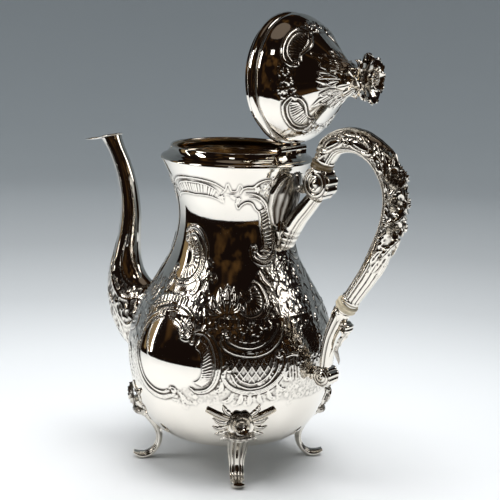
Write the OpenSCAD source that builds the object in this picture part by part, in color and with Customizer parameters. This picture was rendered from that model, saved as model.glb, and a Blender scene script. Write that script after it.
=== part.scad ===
// Footed silver coffee pot with a hinged lid and an insulated loop handle.
// Origin on the table under the middle of the overall length; +Z up, +X towards the handle.
// Every node is drawn about the pot's own axis and shifted once, by axis_x, at the end.

/* [Body] */
// Thickness of the raised silver wall
wall = 1; // [0.9:0.1:1.4]
// Radius of one strainer hole behind the spout
strainer_r = 1.4; // [1:0.1:1.6]
// Height of the flat shoulder that the mouth band is soldered to
shoulder_z = 185.5; // [185:0.5:186]

/* [Lid] */
// How far the lid stands open, in degrees
lid_open = 86.5; // [0:0.5:86.5]
// Thickness of the lid's dome
lid_wall = 1.0; // [0.8:0.1:1.2]
// Depth of the flange that centres the lid in the mouth
bezel_depth = 6.5; // [4:0.5:7]

/* [Hinge] */
// Radius of the hinge knuckles
knuckle_r = 1.8; // [1.6:0.05:1.85]
// Radius of the hinge pin
pin_r = 0.8; // [0.6:0.05:0.9]
// Running clearance round the hinge pin
pin_gap = 0.05; // [0.03:0.01:0.08]
// Length of the whole hinge barrel
barrel_w = 24; // [22:0.5:26]
// Gap between neighbouring knuckles
knuckle_gap = 0.3; // [0.2:0.05:0.4]

/* [Handle] */
// Radius of the insulating rings
insulator_r = 6.6; // [6:0.1:7]
// Thickness of the insulating rings
insulator_h = 4.2; // [3.5:0.1:4.6]
// Radius of the tenons on the insulating rings
tenon_r = 3.2; // [2.8:0.1:3.4]
// Length of each tenon
tenon_h = 6; // [5:0.5:6.5]
// Wall of the hollow loop
handle_wall = 1.6; // [1.4:0.1:2]
// Radius of the silver cross pins
cross_r = 0.8; // [0.6:0.05:1]

/* [Feet] */
// Radius of the rosette on each knee
rose_r = 6.8; // [6:0.1:7.2]
// Thickness of the leaf wings against the bowl
wing_t = 1.4; // [1:0.1:1.8]

/* [Finial] */
// Radius of the stud that holds the finial
stud_r = 2; // [1.6:0.1:2.2]

/* [Hidden] */

silver = "#d9d7d2";
bone = "#d8c9a6";
axis_x = 1.8;
hinge_x = 40.2;
hinge_z = 195.8;
fine = 96;

// Outline of the vessel as [radius, height], from the flat under the bowl up to the shoulder
belly_knots = [[27, 17.5], [38, 19.2], [46.5, 24], [53, 32], [58, 43], [61.7, 56], [63.3, 70],
    [62, 81], [57.6, 94], [51, 107], [43.4, 120.5], [37.4, 134], [34.8, 148], [35.6, 160],
    [38.6, 170.5], [41.9, 179], [44.6, shoulder_z]];

// Spout cross-sections: [outer x, outer z, inner x, inner z, width]
spout_knots = [[-57, 47, -53, 98, 30], [-77, 52.5, -64, 99, 29], [-89, 61.5, -70.5, 101.5, 27],
    [-97, 73, -74.6, 105.5, 24.5], [-100.8, 88, -77, 110, 22], [-99.6, 103.5, -78.4, 116, 19.5],
    [-96, 117, -78.6, 122.5, 17], [-92.8, 130, -78.3, 131, 14.8], [-91.5, 141.5, -78.2, 141, 13.6],
    [-91.7, 150, -79.6, 151.5, 12.6], [-93.6, 159, -82.4, 162.8, 12],
    [-97.2, 169.2, -87.4, 174.4, 11.4], [-102.6, 179.2, -93.2, 184, 11.4],
    [-109, 187, -96.4, 190.2, 13.6]];
spout_t = 1.2;

// Curved bars as [x, z, thickness in the plane, width across it]
handle_knots = [[62.8, 191, 12.6, 12.6], [69, 200, 13, 13], [78, 203.7, 13.4, 13.4],
    [89, 203, 13.4, 13.4], [100, 196.8, 13.4, 13.4], [108, 186, 13.4, 13.4], [111, 174, 13.4, 13.4],
    [109.2, 160, 13.4, 13.4], [104, 146, 13.2, 13.2], [97.5, 132.5, 12.8, 12.8],
    [91, 122.4, 11.8, 11.8], [84.2, 112.4, 11, 11]];
leaf_knots = [[74, 207, 3, 6], [84, 208.8, 5, 12], [95, 207, 6, 14], [104, 202.5, 7, 13],
    [110.5, 199.8, 5, 9], [116, 198.4, 1.6, 3]];
upper_strap_knots = [[33, 147, 6, 12], [38.5, 153.5, 7, 11], [46, 160.3, 7.6, 10],
    [53, 166.6, 8.4, 10], [59, 174, 9, 10]];
lower_strap_knots = [[80.5, 107, 10.4, 10.4], [76.6, 99.5, 9.4, 10], [72.8, 90, 8, 10],
    [71, 80, 7.4, 9.6], [70.6, 70, 7, 9.4]];
leg_knots = [[57, 38, 7, 15], [51, 29, 6, 13.5], [45.6, 21.5, 5, 12.4], [43.3, 15.5, 4.4, 10.6],
    [43.6, 9.6, 4, 9], [46.2, 5, 3.8, 8.4], [50.4, 1.9, 4.4, 8.6], [54.8, 1.7, 4.2, 8.6],
    [58.8, 3.6, 1.8, 6.4]];

// Insulator seats: [x, z, tilt of the handle's axis from vertical]
upper_seat = [62, 188.9, 20];
lower_seat = [82.9, 110.6, 35.6];

// Lid outline as [radius, height over the hinge axis]
dome_knots = [[36, 2.6], [36.7, 4.2], [36.4, 6.4], [35.2, 9.2], [33, 12.6], [29.6, 16.2],
    [25.6, 20], [21.5, 24], [17.5, 28], [13.6, 32], [10.4, 36], [8.4, 40]];

rim_outer = [[45, 185.5], [45.2, 186.3], [44.9, 187.2], [44, 187.9], [42.2, 188.9], [40.9, 190.2],
    [40, 191.8], [39.6, 193], [39.6, 193.7]];
rim_inner = [[38.3, 193.7], [38.3, 192.9], [35.4, 192.9], [35.4, 192.1], [37.8, 191.5],
    [39.4, 189.8], [41.4, 188.2], [43.4, 186.8], [43.4, 185.5]];

// Catmull-Rom curve through the rows of k, n steps between neighbours
function blend(a, b, c, d, t) = 0.5 * (2 * b + (c - a) * t + (2 * a - 5 * b + 4 * c - d) * t * t
    + (3 * b - a - 3 * c + d) * t * t * t);
function smooth(k, n) = let (m = len(k) - 1) concat(
    [for (i = [0:m - 1], j = [0:n - 1])
        blend(k[max(i - 1, 0)], k[i], k[i + 1], k[min(i + 2, m)], j / n)], [k[m]]);

// Direction from point a to point b, and the outline moved sideways by t
function toward(a, b) = (b - a) / norm(b - a);
function inset(c, t) = [for (i = [0:len(c) - 1])
    let (d = toward(c[max(i - 1, 0)], c[min(i + 1, len(c) - 1)])) c[i] - t * [d.y, -d.x]];

// One oval ring between an outer and an inner point of the X-Z plane
function oval(o, i, w, n) = let (c = (o + i) / 2, h = (i - o) / 2)
    [for (k = [0:n - 1]) let (a = 360 * k / n)
        [c.x + h.x * cos(a), w / 2 * sin(a), c.y + h.y * cos(a)]];
function section(s, t, n) = let (o = [s[0], s[1]], i = [s[2], s[3]], u = toward(o, i))
    oval(o + t * u, i - t * u, s[4] - 2 * t, n);
function bar_rings(c, n) = [for (i = [0:len(c) - 1])
    let (p = [c[i][0], c[i][1]], a = c[max(i - 1, 0)], b = c[min(i + 1, len(c) - 1)],
        d = toward([a[0], a[1]], [b[0], b[1]]), h = c[i][2] / 2 * [d.y, -d.x])
        oval(p - h, p + h, c[i][3], n)];

// Solid skin over rings of n points each
module loft(rings, n) {
    m = len(rings);
    polyhedron(
        points = [for (r = rings) for (p = r) p],
        faces = concat(
            [[for (k = [0:n - 1]) k]],
            [[for (k = [0:n - 1]) (m - 1) * n + n - 1 - k]],
            [for (i = [0:m - 2], k = [0:n - 1]) [i * n + k, (i + 1) * n + k, i * n + (k + 1) % n]],
            [for (i = [0:m - 2], k = [0:n - 1])
                [i * n + (k + 1) % n, (i + 1) * n + k, (i + 1) * n + (k + 1) % n]]),
        convexity = 6);
}

module bar(knots, steps, n = 20) loft(bar_rings(smooth(knots, steps), n), n);

module shifted() translate([axis_x, 0, 0]) children();

// Places what is drawn about the closed lid's hinge height, then opens it
module on_lid() shifted() translate([hinge_x, 0, hinge_z]) rotate([0, lid_open, 0])
    translate([-hinge_x, 0, 0]) children();

module along_y(x, z, r, from, to) translate([x, from, z]) rotate([-90, 0, 0])
    cylinder(r = r, h = to - from, $fn = 48);

// --- Vessel ---

belly = smooth(belly_knots, 3);

// The closed shape of the vessel, grown sideways for pieces that lie on it
module belly_solid(grow = 0) rotate_extrude($fn = fine)
    polygon(concat([[0, 17.5]], inset(belly, -grow), [[0, shoulder_z]]));

module body_shell() color(silver) shifted() difference() {
    belly_solid();
    rotate_extrude($fn = fine) let (c = inset(belly, wall)) polygon(concat(
        [[0, c[0].y]], c, [[c[len(c) - 1].x, shoulder_z + 2], [0, shoulder_z + 2]]));
    for (row = [0:4], k = [-2:2]) let (y = 4.2 * k + (row % 2) * 2.1)
        if (abs(y) < 9) translate([-66, y, 62 + 6 * row]) rotate([0, 90, 0])
            cylinder(r = strainer_r, h = 14, $fn = 24);
}

module band_solid(grow = 0) rotate_extrude($fn = fine)
    polygon(concat([[0, 185.5]], [for (p = rim_outer) p + [grow, 0]], [[0, 193.7]]));

module mouth_band() color(silver) shifted() rotate_extrude($fn = fine)
    polygon(concat(rim_outer, rim_inner));

// --- Spout ---

spout_curve = smooth(spout_knots, 2);
spout_last = spout_knots[len(spout_knots) - 1];
spout_mid = ([spout_last[0], spout_last[1]] + [spout_last[2], spout_last[3]]) / 2;
spout_tilt = atan2(spout_last[3] - spout_last[1], spout_last[2] - spout_last[0]);

module spout() color(silver) shifted() difference() {
    loft([for (s = spout_curve) section(s, 0, 24)], 24);
    loft(concat([for (s = spout_curve) section(s, spout_t, 24)],
        [section(spout_last + [-1.2, 2, -1.2, 2, 0.4], spout_t, 24)]), 24);
    belly_solid();
}

// Thin rim round the mouth, drawn out into the pouring tongue
module spout_lip() color(silver) shifted() translate([spout_mid.x, 0, spout_mid.y])
    rotate([0, -spout_tilt, 0]) linear_extrude(1.3) difference() {
        polygon([for (k = [0:59]) let (a = 6 * k, r = 7.6 + 15 * pow(max(0, cos(a)), 10))
            [-r * cos(a), r * sin(a)]]);
        circle(r = 5.2, $fn = 48);
    }

// --- Feet, drawn along +X and turned to the four diagonals ---

module wing_outline() polygon([[-20, 47.5], [-16, 41], [-8, 33], [0, 28], [8, 33], [16, 41],
    [20, 47.5], [10, 45.5], [0, 49], [-10, 45.5]]);

module leg() difference() {
    union() {
        bar(leg_knots, 3, 16);
        intersection() {
            belly_solid(wing_t);
            translate([30, 0, 0]) rotate([90, 0, 90]) linear_extrude(40) wing_outline();
        }
    }
    belly_solid();
    translate([0, 0, -20]) cylinder(r = 80, h = 20, $fn = fine);
    rose_seat() cylinder(r = 20, h = 20, $fn = 48);
}

// Frame of the rosette: its back lies across the knee
module rose_seat() translate([59.2, 0, 40.5]) rotate([0, 102, 0]) children();

module rose() rose_seat() {
    rotate_extrude($fn = 48) polygon([[0, 0], [rose_r - 1.4, 0], [rose_r - 1, 1], [rose_r - 2.2, 1.8],
        [rose_r - 3.2, 1.6], [rose_r - 3.8, 2.4], [rose_r - 5, 2], [0, 2.6]]);
    for (k = [0:7]) rotate([0, 0, 45 * k]) translate([rose_r - 2, 0, 0])
        cylinder(r = 2, h = 1.2, $fn = 24);
}

module foot_at(turn) color(silver) shifted() rotate([0, 0, turn]) children();

module foot_front_left() foot_at(-135) leg();
module foot_front_right() foot_at(-45) leg();
module foot_back_left() foot_at(135) leg();
module foot_back_right() foot_at(45) leg();
module rose_front_left() foot_at(-135) rose();
module rose_front_right() foot_at(-45) rose();
module rose_back_left() foot_at(135) rose();
module rose_back_right() foot_at(45) rose();

// --- Handle, its sockets and insulators ---

// Puts z = 0 on the middle of an insulator, +Z along the handle's axis there
module at_seat(s) translate([s[0], 0, s[1]]) rotate([0, s[2], 0]) children();

module cross_hole(s, h) at_seat(s) translate([0, 0, h]) rotate([90, 0, 0])
    cylinder(r = cross_r + 0.05, h = 30, center = true, $fn = 24);

module cross_pin(s, h, reach) color(silver) shifted() at_seat(s) translate([0, 0, h])
    rotate([90, 0, 0]) cylinder(r = cross_r, h = 2 * reach, center = true, $fn = 24);

module tenon_bore(s, side, extra = 0) at_seat(s) mirror([0, 0, side < 0 ? 1 : 0])
    translate([0, 0, insulator_h / 2 - 0.5])
        cylinder(r = tenon_r + 0.05, h = tenon_h + 0.8 + extra, $fn = 48);

pin_h = insulator_h / 2 + tenon_h / 2;

module insulator(s) color(bone) shifted() difference() {
    at_seat(s) {
        rotate_extrude($fn = 64) polygon([[0, -insulator_h / 2], [insulator_r - 0.6, -insulator_h / 2],
            [insulator_r, -insulator_h / 2 + 0.8], [insulator_r - 0.4, 0],
            [insulator_r, insulator_h / 2 - 0.8], [insulator_r - 0.6, insulator_h / 2],
            [0, insulator_h / 2]]);
        cylinder(r = tenon_r, h = insulator_h + 2 * tenon_h, center = true, $fn = 48);
    }
    cross_hole(s, pin_h);
    cross_hole(s, -pin_h);
}

module handle_core() bar(handle_knots, 3);

// The loop is a tube between its two tenon sockets
module handle_hollow() let (c = smooth(handle_knots, 3), m = len(c),
    tube = [for (i = [4:m - 5]) c[i] - [0, 0, 2 * handle_wall, 2 * handle_wall]])
    loft(bar_rings(tube, 16), 16);

// Cuts away what would run past the flat face of an insulator
module past_seat(s, side) at_seat(s) mirror([0, 0, side < 0 ? 1 : 0])
    translate([0, 0, -10 + insulator_h / 2]) cylinder(r = 14, h = 10, $fn = 48);

module handle() color(silver) shifted() difference() {
    union() {
        handle_core();
        at_seat(upper_seat) cylinder(r = 6.3, h = insulator_h / 2 + 4, $fn = 48);
        at_seat(lower_seat) cylinder(r = 5.6, h = insulator_h / 2 + 4, $fn = 48);
    }
    past_seat(upper_seat, 1);
    past_seat(lower_seat, 1);
    handle_hollow();
    tenon_bore(upper_seat, 1, 6);
    tenon_bore(lower_seat, 1, 6);
    cross_hole(upper_seat, pin_h);
    cross_hole(lower_seat, pin_h);
}

module handle_leaf() color(silver) shifted() difference() {
    bar(leaf_knots, 2, 16);
    handle_core();
}

// Two rows of flowers down the back of the loop: [x, z, lean of the row from level]
module handle_garland() color(silver) shifted() difference() {
    for (f = [[108.4, 185, 24], [111, 173, 2], [109.4, 161, -14]], side = [-1, 1])
        translate([f[0], 0, f[1]]) rotate([0, -f[2], 0]) rotate([0, 0, 35 * side]) rotate([0, 90, 0])
            rotate_extrude($fn = 32) polygon([[0, 4], [5.2, 4], [5.6, 7.4], [4.4, 8.6], [2.6, 8],
                [1.6, 9.4], [0, 9.6]]);
    handle_core();
}

module volute(x, z, r, w) difference() {
    union() {
        along_y(x, z, r, -w / 2, w / 2);
        for (k = [0:11]) let (a = 30 * k)
            along_y(x + (r - 0.7) * cos(a), z + (r - 0.7) * sin(a), 1.4, -w / 2, w / 2);
    }
    for (side = [-1, 1]) translate([x, side * w / 2, z]) rotate([90, 0, 0])
        rotate_extrude($fn = 48) polygon([[r * 0.45, -0.8], [r * 0.75, -0.8], [r * 0.75, 0.8],
            [r * 0.45, 0.8]]);
}

module upper_socket() color(silver) shifted() difference() {
    union() {
        bar(upper_strap_knots, 3);
        volute(61, 178.8, 7.6, 10.4);
        at_seat(upper_seat) translate([0, 0, -insulator_h / 2 - 8]) cylinder(r = 6.2, h = 8, $fn = 48);
        intersection() {
            belly_solid(1.6);
            translate([20, 0, 0]) rotate([90, 0, 90]) linear_extrude(40)
                polygon([[0, 143], [7, 148], [10.5, 156], [13, 166], [11, 176], [6, 181], [-6, 181],
                    [-11, 176], [-13, 166], [-10.5, 156], [-7, 148]]);
        }
    }
    belly_solid();
    past_seat(upper_seat, -1);
    tenon_bore(upper_seat, -1);
    cross_hole(upper_seat, -pin_h);
}

module lower_socket() color(silver) shifted() difference() {
    union() {
        bar(lower_strap_knots, 3);
        volute(71, 66.4, 5.2, 9.6);
        volute(83, 97.4, 3.4, 8);
        translate([58, 0, 66.4]) rotate([0, 90, 0]) cylinder(r = 4.4, h = 12, $fn = 32);
        at_seat(lower_seat) translate([0, 0, -insulator_h / 2 - 8]) cylinder(r = 5.5, h = 8, $fn = 48);
    }
    belly_solid();
    past_seat(lower_seat, -1);
    tenon_bore(lower_seat, -1);
    cross_hole(lower_seat, -pin_h);
}

module upper_insulator() insulator(upper_seat);
module lower_insulator() insulator(lower_seat);
module upper_socket_pin() cross_pin(upper_seat, -pin_h, 6.1);
module upper_handle_pin() cross_pin(upper_seat, pin_h, 6.2);
module lower_handle_pin() cross_pin(lower_seat, pin_h, 5.5);
module lower_socket_pin() cross_pin(lower_seat, -pin_h, 5.4);

// --- Hinge: five knuckles, the odd ones on the pot ---

knuckle_w = barrel_w / 5;
function knuckle_y(i) = [-barrel_w / 2 + i * knuckle_w + (i == 0 ? 0 : knuckle_gap / 2),
    -barrel_w / 2 + (i + 1) * knuckle_w - (i == 4 ? 0 : knuckle_gap / 2)];

module hinge_plate() color(silver) shifted() difference() {
    union() {
        for (i = [0, 2, 4]) let (y = knuckle_y(i)) {
            along_y(hinge_x, hinge_z, knuckle_r, y[0], y[1]);
            translate([38.4, y[0], 192.4]) cube([3.4, y[1] - y[0], hinge_z - 192.4]);
        }
        intersection() {
            band_solid(1.3);
            translate([30, -barrel_w / 2, 188.4]) cube([16, barrel_w, 4.9]);
        }
    }
    band_solid();
    along_y(hinge_x, hinge_z, pin_r + pin_gap, -20, 20);
    for (i = [1, 3]) let (y = knuckle_y(i))
        translate([36, y[0] - knuckle_gap, 193.5]) cube([8, y[1] - y[0] + 2 * knuckle_gap, 6]);
}

module hinge_pin() color(silver) shifted()
    along_y(hinge_x, hinge_z, pin_r, -barrel_w / 2, barrel_w / 2);

// --- Lid, drawn closed about the hinge height ---

dome = smooth(dome_knots, 2);
rim_ring = [[34.1, -2.7], [37, -2.7], [37.5, -2.2], [37.6, -0.8], [37.3, 0.6], [36.4, 1.5],
    [35.8, 2.1], [35.8, 2.6], [34.1, 2.6]];

module lid_dome() color(silver) on_lid() difference() {
    rotate_extrude($fn = fine) polygon(concat([[0, 2.6]], dome, [[0, 40]]));
    rotate_extrude($fn = fine) let (c = inset(dome, lid_wall)) polygon(concat(
        [[0, 0], [c[0].x, 0]], [for (p = c) if (p.y < 40 - lid_wall) p],
        [[7.8, 40 - lid_wall], [0, 40 - lid_wall]]));
    cylinder(r = stud_r + 0.05, h = 60, $fn = 48);
}

module lid_rim() color(silver) on_lid() rotate_extrude($fn = fine) polygon(rim_ring);

module lid_bezel() color(silver) on_lid() difference() {
    translate([0, 0, -bezel_depth]) cylinder(r = 34.1, h = bezel_depth + 2.2, $fn = fine);
    translate([0, 0, -bezel_depth - 1]) cylinder(r = 33.2, h = bezel_depth + 5, $fn = fine);
}

module lid_hinge() color(silver) on_lid() difference() {
    for (i = [1, 3]) let (y = knuckle_y(i)) {
        along_y(hinge_x, 0, knuckle_r, y[0], y[1]);
        translate([34.6, y[0], -0.9]) cube([hinge_x - 34.6, y[1] - y[0], 2]);
    }
    rotate_extrude($fn = fine) polygon(concat([[0, -2.7]], [for (i = [1:7]) rim_ring[i]], [[0, 2.6]]));
    along_y(hinge_x, 0, pin_r + pin_gap, -20, 20);
}

// --- Finial ---

module finial_calyx() color(silver) on_lid() difference() {
    union() {
        rotate_extrude($fn = 64) polygon([[0, 40], [8.2, 40], [7, 41.6], [4.8, 43.4], [4.4, 45],
            [5.6, 46.6], [0, 46.6]]);
        for (k = [0:5]) rotate([0, 0, 60 * k]) translate([5, 0, 42]) rotate([0, 24, 0])
            cylinder(r = 2.2, h = 4, $fn = 24);
    }
    cylinder(r = stud_r + 0.05, h = 60, $fn = 48);
    translate([0, 0, 30]) cylinder(r = 12, h = 10, $fn = 48);
    translate([0, 0, 46.6]) cylinder(r = 12, h = 10, $fn = 48);
}

// Petal lying along +X, its tip r beyond the claw
module petal(r, w, h) linear_extrude(h) polygon([[0, -w * 0.25], [r * 0.45, -w * 0.48],
    [r * 0.8, -w * 0.42], [r, -w * 0.12], [r * 0.96, 0], [r, w * 0.12], [r * 0.8, w * 0.42],
    [r * 0.45, w * 0.48], [0, w * 0.25]]);

// Open flower: two whorls of petals round a domed heart
module finial_flower() color(silver) on_lid() difference() {
    union() {
        rotate_extrude($fn = 64) polygon([[0, 46.6], [5.4, 46.6], [7.2, 50], [6.4, 57], [4.2, 62],
            [2, 64], [0, 64.6]]);
        for (k = [0:7]) rotate([0, 0, 45 * k]) translate([2, 0, 47.4]) rotate([0, -28, 0])
            petal(12.8, 11, 1.8);
        for (k = [0:5]) rotate([0, 0, 60 * k + 15]) translate([3, 0, 52]) rotate([0, -52, 0])
            petal(12.6, 8.4, 1.6);
    }
    translate([0, 0, 30]) cylinder(r = stud_r + 0.05, h = 25, $fn = 48);
    translate([0, 0, 36.6]) cylinder(r = 20, h = 10, $fn = 48);
}

module finial_stud() color(silver) on_lid() translate([0, 0, 33.5])
    cylinder(r = stud_r, h = 21, $fn = 48);

module finial_washer() color(silver) on_lid() translate([0, 0, 38]) difference() {
    cylinder(r = 5, h = 1, $fn = 48);
    translate([0, 0, -1]) cylinder(r = stud_r + 0.1, h = 3, $fn = 48);
}

module finial_nut() color(silver) on_lid() translate([0, 0, 34.6]) difference() {
    cylinder(r = 4.4, h = 3.4, $fn = 6);
    translate([0, 0, -1]) cylinder(r = stud_r + 0.05, h = 6, $fn = 48);
}

body_shell();
mouth_band();
spout();
spout_lip();
foot_front_left();
foot_front_right();
foot_back_left();
foot_back_right();
rose_front_left();
rose_front_right();
rose_back_left();
rose_back_right();
upper_socket();
upper_insulator();
handle();
handle_leaf();
handle_garland();
lower_insulator();
lower_socket();
upper_socket_pin();
upper_handle_pin();
lower_handle_pin();
lower_socket_pin();
hinge_plate();
hinge_pin();
lid_dome();
lid_rim();
lid_bezel();
lid_hinge();
finial_calyx();
finial_flower();
finial_stud();
finial_washer();
finial_nut();
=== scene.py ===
"""Footed silver coffee pot with chased scrollwork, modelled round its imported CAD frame."""
import logging
import math
from dataclasses import dataclass, field
from enum import Enum
from typing import Callable, Iterable, Sequence

import bmesh
import bpy
import numpy as np
from mathutils import Matrix, Vector


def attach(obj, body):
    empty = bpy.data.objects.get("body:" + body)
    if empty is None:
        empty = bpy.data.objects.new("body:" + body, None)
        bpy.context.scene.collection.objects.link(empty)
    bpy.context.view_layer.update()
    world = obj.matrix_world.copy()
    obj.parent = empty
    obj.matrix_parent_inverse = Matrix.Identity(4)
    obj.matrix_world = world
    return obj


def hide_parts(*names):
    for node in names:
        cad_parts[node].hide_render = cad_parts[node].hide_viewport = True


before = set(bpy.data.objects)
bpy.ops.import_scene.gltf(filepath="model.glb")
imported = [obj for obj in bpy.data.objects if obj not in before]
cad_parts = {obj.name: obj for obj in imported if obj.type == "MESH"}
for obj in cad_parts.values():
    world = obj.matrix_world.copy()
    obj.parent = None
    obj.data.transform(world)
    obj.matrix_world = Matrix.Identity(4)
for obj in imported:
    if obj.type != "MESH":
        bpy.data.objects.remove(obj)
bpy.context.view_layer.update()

LOG = logging.getLogger("coffee_pot")
MM = 0.001
AXIS_X = 1.8
HINGE = (40.2, 0.0, 195.8)
LID_ANGLE = 86.5
FLOOR_Z = 17.5
SHARP_EDGE = 62.0
LATHE_STEPS = 48
WELD = 1e-3
SEAT_HALF = 2.1
BAR_RADIUS = 6.5
Knots = Sequence[Sequence[float]]
Colour = tuple[float, float, float]
Profile = Callable[[np.ndarray], np.ndarray]

BELLY: Knots = ((27, 17.5), (38, 19.2), (46.5, 24), (53, 32), (58, 43), (61.7, 56), (63.3, 70), (62, 81),
    (57.6, 94), (51, 107), (43.4, 120.5), (37.4, 134), (34.8, 148), (35.6, 160), (38.6, 170.5), (41.9, 179),
    (44.6, 185.5))
DOME: Knots = ((36, 2.6), (36.7, 4.2), (36.4, 6.4), (35.2, 9.2), (33, 12.6), (29.6, 16.2), (25.6, 20),
    (21.5, 24), (17.5, 28), (13.6, 32), (10.4, 36), (8.4, 40))


def smooth(knots: Knots, steps: int) -> np.ndarray:
    """Run a Catmull-Rom curve through rows of numbers.

    Args:
        knots: the rows the curve passes through.
        steps: how many samples lie between two rows.

    Returns:
        One row per sample.
    """
    k = np.asarray(knots, float)
    p = np.vstack([k[:1], k, k[-1:]])
    t = np.arange(steps)[:, None] / steps
    rows = [0.5 * (2 * b + (c - a) * t + (2 * a - 5 * b + 4 * c - d) * t ** 2 + (3 * b - a - 3 * c + d)
        * t ** 3) for a, b, c, d in zip(p[:-3], p[1:-2], p[2:-1], p[3:])]
    return np.vstack(rows + [k[-1:]])


def resample(curve: np.ndarray, pitch: float) -> np.ndarray:
    """Space a curve's points evenly along its first two columns.

    Args:
        curve: one row per point.
        pitch: about how far apart the new points lie.

    Returns:
        One row per new point.
    """
    run = arc_length(curve)
    at = np.linspace(0, run[-1], max(2, int(round(run[-1] / pitch)) + 1))
    return np.stack([np.interp(at, run, curve[:, i]) for i in range(curve.shape[1])], 1)


def arc_length(curve: np.ndarray) -> np.ndarray:
    """Return the distance run at each point, along the first two columns."""
    return np.concatenate([[0], np.cumsum(np.linalg.norm(np.diff(curve[:, :2], axis=0), axis=1))])


def outline_radius(knots: Knots) -> Profile:
    """Turn an outline into a function.

    Args:
        knots: radius and height, from the foot up.

    Returns:
        The radius as a function of height.
    """
    curve = smooth(knots, 12)

    def radius(z: np.ndarray) -> np.ndarray:
        """Return the outline's radius at each height."""
        return np.interp(z, curve[:, 1], curve[:, 0])

    return radius


def inset(outline: np.ndarray, wall: float) -> np.ndarray:
    """Return an outline of radius and height moved inwards by a wall.

    Args:
        outline: the outer outline, from the foot up.
        wall: how far to move it.

    Returns:
        One row per point of the outline.
    """
    step = np.gradient(outline, axis=0)
    step /= np.linalg.norm(step, axis=1)[:, None]
    return outline - wall * np.stack([step[:, 1], -step[:, 0]], 1)


def about_axis(co: np.ndarray) -> tuple[np.ndarray, np.ndarray]:
    """Return each place's radius and its direction in degrees, both sides folded onto -180 to 0."""
    return np.hypot(co[:, 0], co[:, 1]), -np.abs(np.degrees(np.arctan2(co[:, 1], co[:, 0])))


def dome_run(z: np.ndarray) -> np.ndarray:
    """Return the distance up the dome's outline at each height."""
    curve = smooth(DOME, 12)
    return np.interp(z, curve[:, 1], arc_length(curve))


belly_radius = outline_radius(BELLY)
dome_radius = outline_radius(DOME)


def on_pot() -> Matrix:
    """Return the move from the pot's own millimetres to the row's metres."""
    return Matrix.Translation((AXIS_X * MM, 0, 0)) @ Matrix.Scale(MM, 4)


def on_lid() -> Matrix:
    """Return the move from the closed lid's millimetres, hinge height zero, to the open lid."""
    turn = Matrix.Rotation(math.radians(LID_ANGLE), 4, "Y")
    return on_pot() @ Matrix.Translation(HINGE) @ turn @ Matrix.Translation((-HINGE[0], 0, 0))


# --- Chasing: a height map wrapped round a surface ---


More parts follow.
